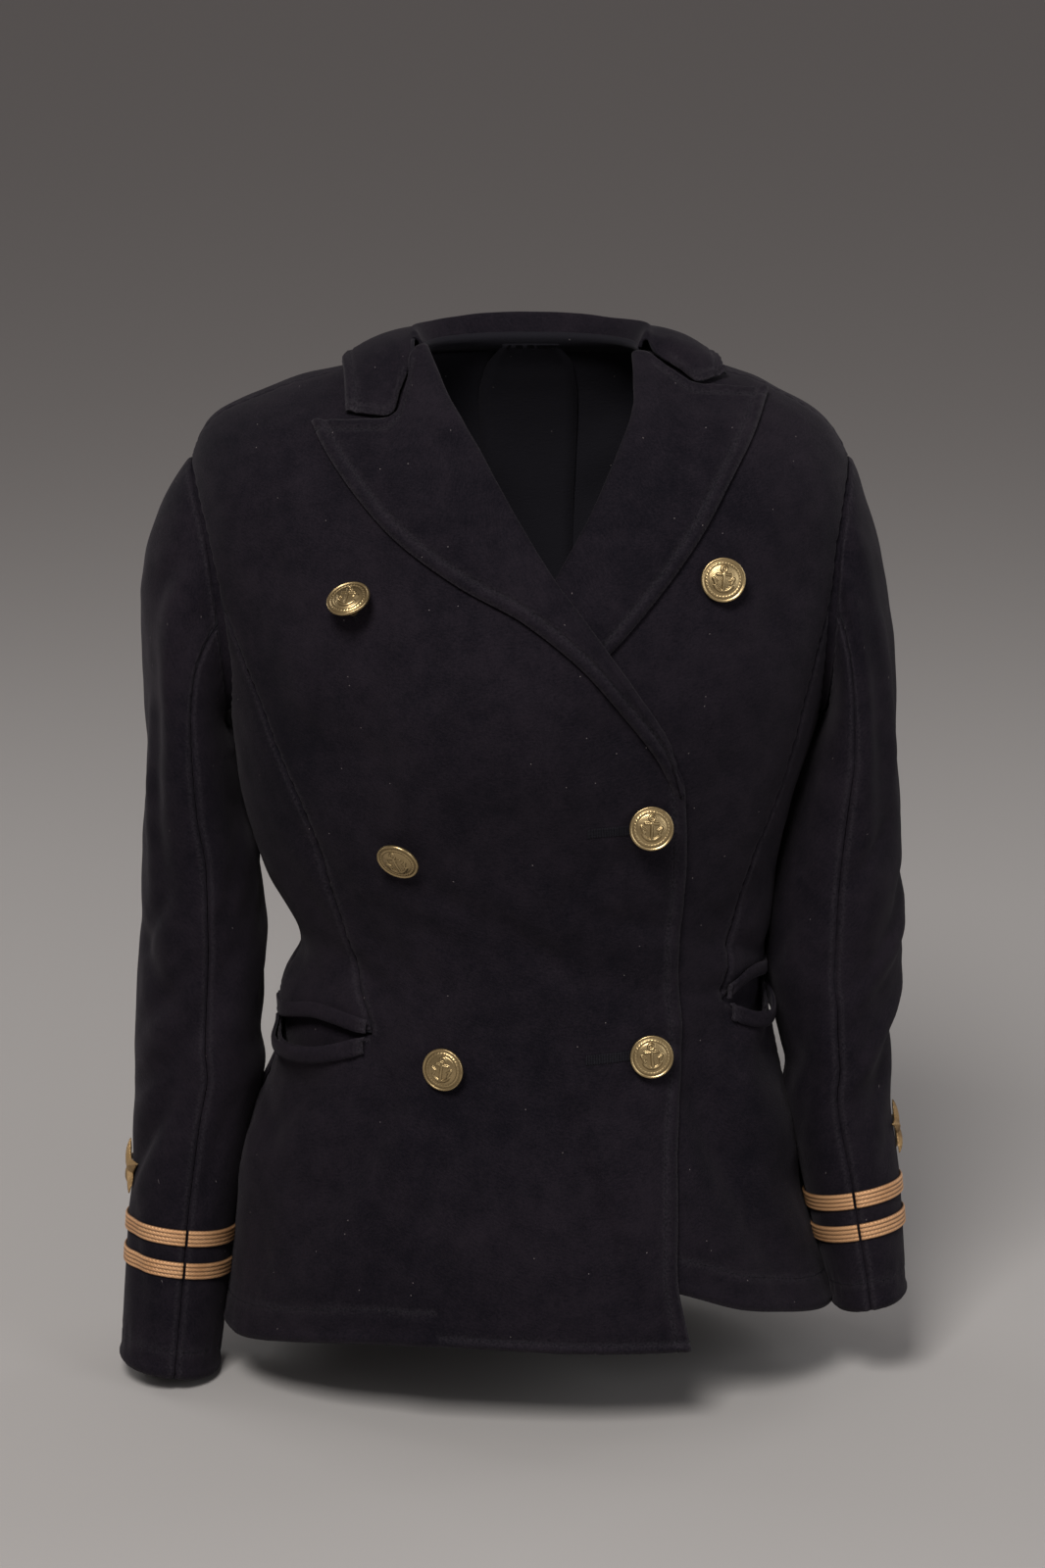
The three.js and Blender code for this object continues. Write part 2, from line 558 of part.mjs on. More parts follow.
function lapel(side) {
  const sign = side === 'left' ? 1 : -1;
  const { gorge, rows } = LAPELS[side];
  const numbered = rows.map((row, i) => ({ ...row, i }));
  const curve = {};
  for (const key of ['rollX', 'rollZ', 'edgeX', 'edgeZ']) curve[key] = track(numbered, 'i', key);
  const grid = [];
  const straight = new THREE.Vector2(rows[0].rollX, rows[0].rollZ)
    .lerp(new THREE.Vector2(rows[0].edgeX, rows[0].edgeZ), GORGE_SHARE);
  const gorgePull = new THREE.Vector2(gorge.x, gorge.z).sub(straight);
  for (let j = 0; j <= LAPEL_STEPS; j += 1) {
    const t = ((rows.length - 1) * j) / LAPEL_STEPS;
    const roll = new THREE.Vector2(curve.rollX(t), curve.rollZ(t));
    const outer = new THREE.Vector2(curve.edgeX(t), curve.edgeZ(t));
    const width = roll.distanceTo(outer);
    const across = outer.clone().sub(roll).normalize();
    const bend = clamp(1 - t / 4.5, 0, 1) ** 1.5;
    const pull = gorgePull.clone().multiplyScalar(bend);
    const line = [];
    const place = (flat, out) => {
      const shifted = flat.clone().add(new THREE.Vector2(-sign * 0.9, -1.1).multiplyScalar(bend ** 2));
      const base = side === 'right' ? lapOut(shifted.x, shifted.y) : 0;
      line.push(frontPoint(shifted.x, shifted.y, base + out));
    };
    for (const step of LAPEL_WRAP) {
      place(roll.clone().addScaledVector(across, Math.min(step.from, width * 0.35)), step.out);
    }
    for (const share of LAPEL_SHARES) {
      const bent = share < GORGE_SHARE ? share / GORGE_SHARE : (1 - share) / (1 - GORGE_SHARE);
      const flat = roll.clone().lerp(outer, share).addScaledVector(pull, bent);
      const narrow = clamp(width / 30, 0, 1);
      const reach = Math.max(share * width, Math.min(3.4, width * 0.5) + share);
      if (share * width < 4.5) flat.copy(roll).addScaledVector(across, reach);
      place(flat, 3.6 + 2 * narrow * Math.sin(Math.PI * share) + 0.6 * (1 - share));
    }
    grid.push(line);
  }
  const points = side === 'left' ? grid : grid.map((line) => line.slice().reverse());
  return sheet(`lapel_${side}`, cloth(), points);
}

jacket.add(lapel('right'), lapel('left'));

// The height of the shoulders above a place
function shoulderTop(x, y) {
  let low = -209;
  let high = 4;
  for (let i = 0; i < 40; i += 1) {
    const z = (low + high) / 2;
    const half = x < 0 ? body.right(z) : body.left(z);
    const deep = y < 0 ? body.front(z) : body.back(z);
    const power = y < 0 ? FRONT_POWER : BACK_POWER;
    const inside = (Math.abs(x) / half) ** power + (Math.abs(y) / deep) ** power < 1;
    if (inside) low = z;
    else high = z;
  }
  return (low + high) / 2;
}

const up = (height) => new THREE.Vector3(0, 0, height);

// Collar: the stand rises from the neckline, folds over and falls to its outer edge
function collarRow(row) {
  const foot = bodySkin(rad(row.angle), 0).add(up(SEAM + 0.2));
  const outward = new THREE.Vector3(foot.x, foot.y, 0).normalize();
  const crown = foot.clone().addScaledVector(outward, row.out).add(up(row.up));
  const edgeTop = shoulderTop(row.edgeX, row.edgeY) + FALL_LIFT;
  const rim = new THREE.Vector3(row.edgeX, row.edgeY, edgeTop);
  const inside = crown.clone().addScaledVector(outward, -3.2).add(up(-3.4));
  const past = crown.clone().addScaledVector(outward, 3.4).add(up(-2));
  const points = [foot, foot.clone().lerp(inside, 0.5), inside, crown, past];
  for (const share of [0.25, 0.5, 0.75, 1]) {
    const point = past.clone().lerp(rim, share);
    const swell = Math.sin(Math.PI * share) * 3;
    points.push(point.add(up(swell)).addScaledVector(outward, swell * 0.6));
  }
  return points;
}

function collarEnd(side) {
  const sign = side === 'left' ? 1 : -1;
  const { corner, tip } = COLLAR_ENDS[side];
  const lift = (x, z, out) => {
    const shifted = new THREE.Vector2(x + sign * 0.6, z + 0.9);
    const base = side === 'right' ? lapOut(shifted.x, shifted.y) : 0;
    return frontPoint(shifted.x, shifted.y, base + out);
  };
  const top = new THREE.Vector2(sign * 60.5, -1);
  const gorge = new THREE.Vector2(corner.x, corner.z);
  const end = new THREE.Vector2(tip.x, tip.z);
  const foot = bodySkin(rad(sign * 86), 0).add(new THREE.Vector3(0, -1, SEAM + 0.6));
  const points = [
    foot,
    foot.clone().add(new THREE.Vector3(sign * 0.3, -0.3, 1.6)),
    foot.clone().add(new THREE.Vector3(sign * 0.9, -0.6, 3.2)),
    foot.clone().add(new THREE.Vector3(sign * 3.2, -1.2, 5)),
  ];
  for (const share of [0.3, 0.65, 1]) {
    const flat = top.clone().lerp(gorge, share);
    points.push(lift(flat.x, flat.y, 4.6));
  }
  for (const share of [0.5, 1]) {
    const flat = gorge.clone().lerp(end, share);
    points.push(lift(flat.x, flat.y, 4.6));
  }
  return points;
}

function collar() {
  const rows = COLLAR.map(collarRow);
  const lines = [collarEnd('right')];
  rows.forEach((row, j) => {
    const before = j === 0 ? collarEnd('right') : rows[j - 1];
    lines.push(row.map((point, i) => point.clone().lerp(before[i], 0.5)), row);
  });
  const leftEnd = collarEnd('left');
  const last = rows[rows.length - 1];
  lines.push(last.map((point, i) => point.clone().lerp(leftEnd[i], 0.5)), leftEnd);
  return sheet('collar', cloth(), lines);
}

jacket.add(collar());

// A sleeve's section below the cap
const sleeveCurves = {};
for (const side of ['right', 'left']) {
  const curves = {};
  for (const key of ['outer', 'inner', 'depth', 'y', 'front', 'side']) {
    curves[key] = track(SLEEVES[side].rings, 'z', key);
  }
  sleeveCurves[side] = curves;
}

const squared = (value) => Math.sign(value) * Math.abs(value) ** (2 / SLEEVE_POWER);

function sleeveRing(side, angle, z) {
  const { sign } = SLEEVES[side];
  const curves = sleeveCurves[side];
  const middle = (curves.outer(z) + curves.inner(z)) / 2;
  const half = (curves.outer(z) - curves.inner(z)) / 2;
  const across = squared(Math.cos(angle)) * half;
  const forward = squared(Math.sin(angle)) * curves.depth(z);
  const raised = forward * curves.front(z) + across * curves.side(z);
  return new THREE.Vector3(sign * (middle + across), curves.y(z) - forward, z + raised);
}

// Where the sleeve is set into the armhole
function armholePoint(side, angle) {
  const { sign } = SLEEVES[side];
  const z = ARMHOLE.middle + ARMHOLE.half * Math.cos(angle);
  const isFront = Math.sin(angle) > 0;
  const y = (isFront ? ARMHOLE.front : ARMHOLE.back) * Math.sin(angle);
  const skin = bodySkin(armholeAngle(z, side, isFront), z);
  return new THREE.Vector3(skin.x + sign * (SEAM + 0.9), -y, z);
}

// A point of a sleeve: the cap runs from 0 to 1, and below it the height is given
function sleeveSkin(side, angle, cap, z) {
  const { sign, swell } = SLEEVES[side];
  if (cap >= 1) return sleeveRing(side, angle, z);
  const start = armholePoint(side, angle);
  const end = sleeveRing(side, angle, CAP_END);
  const reach = start.distanceTo(end);
  const leave = new THREE.Vector3(sign * swell, -0.35 * Math.sin(angle), -0.84);
  const arrive = new THREE.Vector3(0, 0, -1);
  const v = cap - 1;
  return start.multiplyScalar((1 + 2 * cap) * v * v)
    .addScaledVector(leave, cap * v * v * reach)
    .addScaledVector(end, cap * cap * (3 - 2 * cap))
    .addScaledVector(arrive, cap * cap * v * reach);
}

const SLEEVE_GIRTH = 42;   // a sleeve's mean radius, to measure across it in millimetres

function sleevePoint(side, angle, cap, z, out = 0) {
  const step = 0.02;
  const here = sleeveSkin(side, angle, cap, z);
  const across = sleeveSkin(side, angle + step, cap, z).sub(sleeveSkin(side, angle - step, cap, z));
  const lower = cap < 1 ? sleeveSkin(side, angle, cap + step, z) : sleeveSkin(side, angle, 1, z - 1);
  const normal = across.cross(lower.sub(here)).normalize();
  if (side === 'right') normal.negate();
  let fold = 0;
  const turned = THREE.MathUtils.radToDeg(angle);
  for (const row of SLEEVES[side].folds) {
    const scale = rad(SLEEVE_GIRTH);
    const width = { depth: row.depth, width: row.width };
    fold += trough(width, row.a1 * scale, row.z1, row.a2 * scale, row.z2, turned * scale, here.z);
  }
  here.addScaledVector(normal, out + fold * (cap > 0.05 ? 1 : 0));
  here.face = normal;
  return here;
}

const SLEEVE_ROWS = 18;

function sleevePanel(name, side, from, to, steps) {
  const { hem: cuff } = SLEEVES[side];
  const line = (cap, z) => {
    const points = [];
    for (let i = 0; i <= steps; i += 1) {
      points.push(sleevePoint(side, rad(lerp(from, to, i / steps)), cap, z));
    }
    return points;
  };
  const grid = CAP_STEPS.map((cap) => line(cap, CAP_END));
  for (let j = 0; j <= SLEEVE_ROWS; j += 1) {
    grid.push(line(1, lerp(CAP_END, cuff, j / SLEEVE_ROWS)));
  }
  const points = side === 'left' ? grid.map((row) => row.slice().reverse()) : grid;
  return sheet(name, cloth(), points, { panel: true });
}

for (const side of ['right', 'left']) {
  const { frontSeam, backSeam } = SLEEVES[side];
  const gap = 0.5;
  jacket.add(
    sleevePanel(`top_sleeve_${side}`, side, backSeam + gap, frontSeam - gap, 10),
    sleevePanel(`under_sleeve_${side}`, side, frontSeam + gap, backSeam + 360 - gap, 8),
  );
}

// Two rows of braid on each cuff, cut at the sleeve's seams
function braid(name, side, z, from, to, steps) {
  const grid = [];
  for (const height of [z, z - BRAID.width]) {
    const line = [];
    for (let i = 0; i <= steps; i += 1) {
      const angle = rad(lerp(from, to, i / steps));
      line.push(sleevePoint(side, angle, 1, height, BRAID.thick + 0.5));
    }
    grid.push(line);
  }
  const points = side === 'left' ? grid.map((row) => row.slice().reverse()) : grid;
  return sheet(name, finish.braid.clone(), points, { thick: BRAID.thick, panel: true });
}

for (const side of ['right', 'left']) {
  const { frontSeam, backSeam } = SLEEVES[side];
  BRAID.rows[side].forEach((z, i) => {
    const gap = 1.4;
    const label = `${side}_${i + 1}`;
    jacket.add(
      braid(`braid_top_${label}`, side, z, backSeam + gap, frontSeam - gap, 15),
      braid(`braid_under_${label}`, side, z, frontSeam + gap, backSeam + 360 - gap, 13),
    );
  });
}

// A plain five-pointed star in bullion on the outer side of each sleeve
function star(side) {
  const outline = new THREE.Shape();
  for (let i = 0; i < STAR.points * 2; i += 1) {
    const radius = i % 2 === 0 ? STAR.outer : STAR.inner;
    const turn = Math.PI / 2 + (Math.PI * i) / STAR.points;
    const corner = new THREE.Vector2(radius * Math.cos(turn), radius * Math.sin(turn));
    if (i === 0) outline.moveTo(corner.x, corner.y);
    else outline.lineTo(corner.x, corner.y);
  }
  outline.closePath();
  const shape = { depth: STAR.thick, bevelEnabled: false, steps: 1 };
  const geometry = new THREE.ExtrudeGeometry(outline, shape);
  const position = geometry.attributes.position;
  const { sign } = SLEEVES[side];
  const corner = new THREE.Vector3();
  for (let i = 0; i < position.count; i += 1) {
    corner.fromBufferAttribute(position, i);
    const across = corner.x * -sign;
    const angle = Math.asin(clamp(across / 46, -1, 1));
    const z = STAR.z[side] + corner.y;
    const place = sleevePoint(side, angle, 1, z, 1.3 + corner.z);
    position.setXYZ(i, place.x, place.y, place.z);
  }
  geometry.computeVertexNormals();
  const mesh = new THREE.Mesh(geometry, finish.bullion.clone());
  mesh.name = `sleeve_star_${side}`;
  return mesh;
}

jacket.add(star('right'), star('left'));

// Pocket: a welt on each lip and the pocketing that shows in the mouth
function pocketPieces(side) {
  const sign = side === 'left' ? 1 : -1;
  const pocket = POCKETS[side];
  const name = `front_${side}`;
  const steps = 7;
  const ordered = (grid) => (side === 'right' ? grid : grid.map((line) => line.slice().reverse()));
  const line = (lift, out, lower) => {
    const points = [];
    for (let i = 0; i <= steps; i += 1) {
      const sideAngle = sign * (Math.PI / 2 - 0.03);
      const innerAngle = frontAngle(pocket.inner, pocket.row) + sign * 0.02;
      const angle = lerp(sideAngle, innerAngle, i / steps);
      const flat = bodySkin(angle, pocket.row);
      const open = mouth(flat.x, side);
      const fall = lower ? -pocket.drop * open - SEAM : pocket.rise * open + SEAM;
      const z = rowHeight(pocket.row, flat.x, side, hem[name]) + fall + lift;
      const near = Math.exp(-((lift / 26) ** 2));
      points.push(bodyPoint(angle, z, out + (lower ? pocket.gape * open * near : 0)));
    }
    return points;
  };
  const upper = ordered([line(8, 2.9, false), line(4, 3.2, false), line(-0.5, 2.9, false)]);
  const lower = ordered([line(0.5, 3.4, true), line(-5, 3.6, true), line(-10, 3, true)]);
  const { inset } = pocket;
  const inner = ordered([
    line(7, -inset, false), line(-10, -inset, false), line(-28, -inset - 0.6, false),
  ]);
  return [
    sheet(`pocket_welt_upper_${side}`, cloth(), upper),
    sheet(`pocket_welt_lower_${side}`, cloth(), lower),
    sheet(`pocket_inner_${side}`, cloth(), inner, { thick: 1.5, panel: true }),
  ];
}

for (const side of ['right', 'left']) jacket.add(...pocketPieces(side));

// Buttons: a domed disc with a raised rim, on a shank just long enough for its lean
function button(row, number) {
  const { radius, rim, shank, dome, clear, sides } = BUTTON;
  const out = row.on === 'front_right' ? lapOut(row.x, row.z) : 0;
  const base = frontPoint(row.x, row.z, out);
  const ahead = frontPoint(row.x, row.z, out + 1).sub(base).normalize();
  const level = Math.cos(rad(row.rise));
  const facing = new THREE.Vector3(
    Math.sin(rad(row.turn)) * level, -Math.cos(rad(row.turn)) * level, Math.sin(rad(row.rise)),
  );
  const lean = ahead.angleTo(facing);
  const under = (radius * Math.sin(lean) + clear) / Math.cos(lean);
  const foot = (shank * Math.sin(lean) + 0.3) / Math.cos(lean);
  const profile = [
    [0, foot], [shank, foot], [shank, under], [radius * 0.84, under],
    [radius, under + rim * 0.4], [radius, under + rim], [radius * 0.93, under + rim * 1.3],
    [radius * 0.82, under + rim], [radius * 0.5, under + dome * 0.85], [0, under + dome],
  ].map(([r, h]) => new THREE.Vector2(r, h));
  const geometry = new THREE.LatheGeometry(profile, sides);
  geometry.rotateX(Math.PI / 2);
  const mesh = new THREE.Mesh(geometry, finish.brass.clone());
  mesh.name = `button_${number}`;
  mesh.quaternion.setFromUnitVectors(new THREE.Vector3(0, 0, 1), facing);
  mesh.position.copy(base);
  return mesh;
}

BUTTONS.forEach((row, i) => jacket.add(button(row, i + 1)));

export default jacket;
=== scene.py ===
# %% [markdown]
# # A double-breasted military jacket in brushed knit
# The jacket keeps the shape of the body that wore it, with nothing inside. All the shapes are
# worked out in millimetres, with +Z up, the front facing -Y and +X towards the wearer's left,
# and become metres when a mesh is made.

# %% Load the frame
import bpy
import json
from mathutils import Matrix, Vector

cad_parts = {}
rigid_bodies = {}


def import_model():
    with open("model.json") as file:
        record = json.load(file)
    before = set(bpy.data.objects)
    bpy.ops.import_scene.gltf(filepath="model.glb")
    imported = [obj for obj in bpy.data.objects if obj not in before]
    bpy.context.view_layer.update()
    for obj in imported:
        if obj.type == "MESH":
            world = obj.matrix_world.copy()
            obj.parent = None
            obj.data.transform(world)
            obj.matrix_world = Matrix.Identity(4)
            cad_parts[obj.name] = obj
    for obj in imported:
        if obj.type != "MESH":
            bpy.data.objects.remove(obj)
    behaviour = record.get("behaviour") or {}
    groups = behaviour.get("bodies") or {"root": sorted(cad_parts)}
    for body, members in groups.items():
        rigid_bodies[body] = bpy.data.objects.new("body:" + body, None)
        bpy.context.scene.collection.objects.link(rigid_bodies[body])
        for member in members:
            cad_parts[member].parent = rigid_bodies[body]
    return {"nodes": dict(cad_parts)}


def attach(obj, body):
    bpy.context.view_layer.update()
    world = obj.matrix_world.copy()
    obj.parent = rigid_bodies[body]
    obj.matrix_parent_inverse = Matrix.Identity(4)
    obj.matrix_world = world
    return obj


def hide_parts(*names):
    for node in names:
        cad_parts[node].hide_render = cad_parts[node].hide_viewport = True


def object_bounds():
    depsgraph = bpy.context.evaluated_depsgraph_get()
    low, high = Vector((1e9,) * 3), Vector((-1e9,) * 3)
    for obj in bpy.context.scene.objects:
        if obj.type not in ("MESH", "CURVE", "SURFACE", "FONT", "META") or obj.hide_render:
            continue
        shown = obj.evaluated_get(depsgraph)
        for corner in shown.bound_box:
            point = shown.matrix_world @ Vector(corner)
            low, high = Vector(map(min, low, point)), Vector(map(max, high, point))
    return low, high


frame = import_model()
cad_box = [list(corner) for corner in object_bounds()]

import json
import math

import bpy
import numpy as np

MM = 0.001
print("nodes in the frame:", len(frame["nodes"]))

# %% [markdown]
# ## Camera
# The camera stands 2.4 m in front of the jacket and looks down at it by 15 degrees, as a
# photographer does who holds the camera at the height of the face. A long lens keeps the
# front flat, so that the shoulders don't look wider than the hem.

# %% Camera
CAMERA_PLACE = (-0.0045, -2.3182, 0.3692)
CAMERA_TURN = (math.radians(75), 0, 0)
LENS = 96
SENSOR_WIDTH = 36
SIGHT = 60

camera = bpy.data.objects.new("Camera", bpy.data.cameras.new("Camera"))
camera.location = CAMERA_PLACE
camera.rotation_euler = CAMERA_TURN
camera.data.lens = LENS
camera.data.sensor_width = SENSOR_WIDTH
camera.data.clip_end = SIGHT
bpy.context.collection.objects.link(camera)
bpy.context.scene.camera = camera
print("lens", camera.data.lens, "mm")

# %% [markdown]
# ## Floor and light
# Nearly black cloth shows its form only by the soft shine of its nap, so it wants large
# lamps: a bright one in front, above and a little to the left, a weaker one from the right,
# and two from behind that draw the outline of the sleeves. The floor is plain and pale, and
# the longer sleeve ends just above it.

# %% Floor and light
FLOOR_COLOUR = (0.40, 0.385, 0.375, 1)
FLOOR_REACH = 30
FLOOR_ROUGHNESS = 0.8
FLOOR_GAP = 0.0004
WORLD_COLOUR = (0.88, 0.81, 0.80, 1)
WORLD_STRENGTH = 0.21
LAMPS = {
    "key": dict(place=(-0.55, -2.1, 2.0), aim=(0, 0, -0.32), size=1.0, power=84, colour=(1, 0.97, 0.94)),
    "fill": dict(place=(1.9, -1.7, 0.6), aim=(0, 0, -0.35), size=1.3, power=13, colour=(0.95, 0.97, 1)),
    "rim left": dict(place=(-1.6, 0.9, 0.5), aim=(-0.2, 0, -0.3), size=0.9, power=7, colour=(1, 1, 1)),
    "rim right": dict(place=(1.6, 0.9, 0.5), aim=(0.2, 0, -0.3), size=0.9, power=7, colour=(1, 1, 1)),
}


def start_material(name):
    """A node material with its tree and its shader"""
    material = bpy.data.materials.new(name)
    material.use_nodes = True
    tree = material.node_tree
    return material, tree, tree.nodes["Principled BSDF"]


def set_finish(shader, **values):
    """Sets the shader's inputs by name"""
    for key, value in values.items():
        shader.inputs[key.replace("_", " ")].default_value = value


def add_lamp(name, place, aim, size, power, colour):
    """A square lamp that looks at a point"""
    lamp = bpy.data.lights.new(name, "AREA")
    lamp.size, lamp.energy, lamp.color = size, power, colour
    body = bpy.data.objects.new(name, lamp)
    body.location = place
    way = np.subtract(aim, place)
    body.rotation_euler = (
        math.atan2(math.hypot(way[0], way[1]), -way[2]), 0, math.atan2(way[1], way[0]) - math.pi / 2)
    bpy.context.collection.objects.link(body)


for lamp_name, settings in LAMPS.items():
    add_lamp(lamp_name, **settings)

world = bpy.data.worlds.new("Studio")
world.use_nodes = True
world.node_tree.nodes["Background"].inputs["Color"].default_value = WORLD_COLOUR
world.node_tree.nodes["Background"].inputs["Strength"].default_value = WORLD_STRENGTH
bpy.context.scene.world = world
bpy.context.scene.view_settings.view_transform = "Standard"

floor_level = cad_box[0][2] - FLOOR_GAP
floor_mesh = bpy.data.meshes.new("floor")
corners = [(-1, -1), (1, -1), (1, 1), (-1, 1)]
floor_mesh.from_pydata(
    [(x * FLOOR_REACH, y * FLOOR_REACH, floor_level) for x, y in corners], [], [(0, 1, 2, 3)])
pale, _, pale_shader = start_material("pale floor")
set_finish(pale_shader, Base_Color=FLOOR_COLOUR, Roughness=FLOOR_ROUGHNESS)
floor_mesh.materials.append(pale)
floor = bpy.data.objects.new("floor", floor_mesh)
bpy.context.collection.objects.link(floor)
print("floor at", round(floor_level, 4), "m")

# %% [markdown]
# ## The jacket's measures
# The body is a stack of rounded oblongs, one at each height, and each row of the table gives
# the half-width to the wearer's right and left and the depth in front and behind. The tables
# are the same as in the solid model, so that every finer piece lies where its solid lies.

# %% Measures of the body
# The thickness of the cloth, a seam's gap, and how far the front laps and the lapel rolls
CLOTH = 2.0
SEAM = 0.6
LAP = 3.6
OVER_LAPEL = 5.2
ROLL = 2.6
FRONT_POWER = 2.3
BACK_POWER = 2.4
ARMHOLE = dict(middle=-135, half=74, front=50, back=47)
ARMHOLE_TOP = ARMHOLE["middle"] + ARMHOLE["half"]
BREAK = -209
SIDES = {"right": -1, "left": 1}

# Height, right, left, front, back
BODY = [
    (4, 52, 52, 9, 45), (0, 60, 60, 17, 48), (-10, 95, 95, 29, 58), (-17, 127, 125, 39, 64),
    (-27, 154, 145, 53, 70), (-37, 178, 163, 66, 76), (-48, 186, 172, 76, 81),
    (-61, 191, 179, 87, 86), (-85, 192, 183, 99, 92), (-115, 189, 182, 110, 96),
    (-145, 183, 178, 119, 97), (-178, 175, 172, 123, 95), (-210, 170, 164, 121, 92),
    (-250, 166, 152, 114, 86), (-295, 154, 143, 104, 79), (-325, 137, 139, 98, 75),
    (-345, 131, 136, 96, 75), (-370, 146, 135, 97, 78), (-400, 146, 141, 102, 87),
    (-440, 161, 150, 112, 100), (-480, 169, 160, 119, 107), (-520, 175, 169, 124, 112),
    (-560, 180, 181, 128, 116), (-600, 185, 193, 131, 119),
]
# Height and distance from the middle of each front's free edge
EDGE = {
    "right": [
        (0, -60), (-24, -47), (-48, -30), (-83, -8), (-112, 11), (-140, 32), (-171, 55),
        (-200, 73), (-228, 84), (-270, 85.5), (-332, 82), (-389, 85), (-446, 82), (-503, 82),
        (-551, 90),
    ],
    "left": [
        (0, 60), (-22, 60), (-45, 51), (-70, 39), (-96, 24), (-122, 8), (-147, -10), (-170, -26),
        (-190, -40), (-215, -58), (-240, -64), (-551, -64),
    ],
}
# Height and distance from the middle of each princess seam
PRINCESS = {
    "right": [
        (-127, -176), (-161, -162), (-207, -144), (-247, -126), (-297, -112), (-348, -98),
        (-376, -90), (-551, -88),
    ],
    "left": [
        (-112, 174), (-135, 167), (-162, 160), (-234, 142), (-281, 125), (-320, 117), (-362, 110),
        (-551, 106),
    ],
}
PRINCESS_START = {"right": -127, "left": -112}
# Distance from the middle and how far the hem hangs above the last row
HEM = {
    "front_right": [
        (-185, -25), (-136, -8), (-100, -1), (-50, 3), (32, 0), (90, -3),
    ],
    "front_left": [
        (80, 33), (100, 25), (122, 15), (150, 5), (192, -16),
    ],
    "back": [
        (-185, -25), (0, -40), (192, -16),
    ],
}
LAST_ROW = -550
POCKETS = {
    "right": dict(row=-376, inner=-90, slope=-5, gape=13, drop=8, rise=6),
    "left": dict(row=-362, inner=110, slope=-2, gape=10, drop=10, rise=8),
}
# Where a mouth is widest, and how far its lips still stand apart at the side seam
MOUTH_PEAK = 0.5 ** (1 / 1.3)
UPPER_END = 0.35
LOWER_END = 0.15
GAPE_END = 0.0
# How far above and below the mouth the cloth still follows its lips
LOWER_LIP_REACH = 26
UPPER_LIP_REACH = 14
SIDE_DIP = 9.0
# The rows above this height are level, and from there down to the hem they bend more and more
BEND_START = -400
BEND_DEPTH = 150
# Corners are rounded over this height, and less so near the neckline
EASE_REACH = 11.0
EASE_NECK = 8
EASE_GROWTH = 0.25
EASE_WEIGHTS = ((-1, 0.15), (-0.5, 0.2), (0, 0.3), (0.5, 0.2), (1, 0.15))
# A distance that counts as too far away to matter
FAR = 99.0


def curve(rows):
    """A smooth curve through pairs of numbers that never swings past them"""
    at, value = np.array(sorted(rows), float).T
    rise = np.diff(value) / np.diff(at)
    slope = np.empty_like(value)
    slope[0], slope[-1] = rise[0], rise[-1]
    product = rise[:-1] * rise[1:]
    total = np.where(product > 0, rise[:-1] + rise[1:], 1)
    slope[1:-1] = np.where(product > 0, 2 * product / total, 0)

    def read(where):
        w = np.clip(where, at[0], at[-1])
        i = np.clip(np.searchsorted(at, w, side="right") - 1, 0, len(at) - 2)
        span = at[i + 1] - at[i]
        u = (w - at[i]) / span
        v = u - 1
        start = (1 + 2 * u) * v * v * value[i] + u * v * v * span * slope[i]
        return start + u * u * (3 - 2 * u) * value[i + 1] + u * u * v * span * slope[i + 1]

    return read


def table_curves(rows, names):
    """One curve for each named column, read at the first column's value"""
    return {name: curve([(row[0], row[i + 1]) for row in rows]) for i, name in enumerate(names)}


def eased(read):
    """The same curve with its corners rounded, but not near the neckline"""
    def soft(where):
        where = np.asarray(where, float)
        span = np.minimum(EASE_REACH, np.clip(-where - EASE_NECK, 0, None) * EASE_GROWTH)
        return sum(weight * read(where + share * span) for share, weight in EASE_WEIGHTS)
    return soft


def bend_share(row):
    """How far down a row is on its way from level to the hem's own line"""
    return np.clip((BEND_START - row) / BEND_DEPTH, 0, 1)


body_curves = table_curves(BODY, ("right", "left", "front", "back"))
body = {name: eased(read) for name, read in body_curves.items()}
edge = {side: curve(rows) for side, rows in EDGE.items()}
princess = {side: curve(rows) for side, rows in PRINCESS.items()}
hem = {name: curve(rows) for name, rows in HEM.items()}
print("chest", round(float(body["right"](-150) + body["left"](-150))), "mm across")

# %% [markdown]
# ## Folds
# A fold is a straight line on the cloth with a soft valley or ridge along it. The large ones
# are the same as in the solid model. The small ones are added here: drag lines towards the
# waist and the buttons, and slow waves that no line describes.

# %% Folds of the body
# From x, z to x, z, then width, depth, and whether it is in front
FOLDS = [
    (-62, -392, -150, -520, 15, -5, True), (-100, -400, -170, -480, 11, 3, True),
    (-154, -425, -146, -458, 9, -3, True), (8, -355, 54, -505, 20, -4, True),
    (40, -345, 78, -352, 12, -3, True), (90, -388, 122, -448, 13, -7, True),
    (122, -448, 168, -505, 13, -6, True), (112, -400, 150, -462, 12, 5, True),
    (-118, -300, -60, -338, 13, -3, True), (-40, -318, 40, -330, 15, -3, True),
    (136, -290, 96, -335, 12, -3.5, True), (-150, -190, -96, -225, 16, -2.5, True),
    (-110, -285, -20, -342, 15, -4, False), (115, -280, 24, -345, 15, -4, False),
    (-60, -392, -120, -540, 18, -4, False), (66, -385, 104, -535, 18, -4, False),
    (-150, -170, -90, -215, 14, -3, False), (148, -168, 92, -210, 14, -3, False),
]
SMALL_FOLD_STRENGTH = 2.2
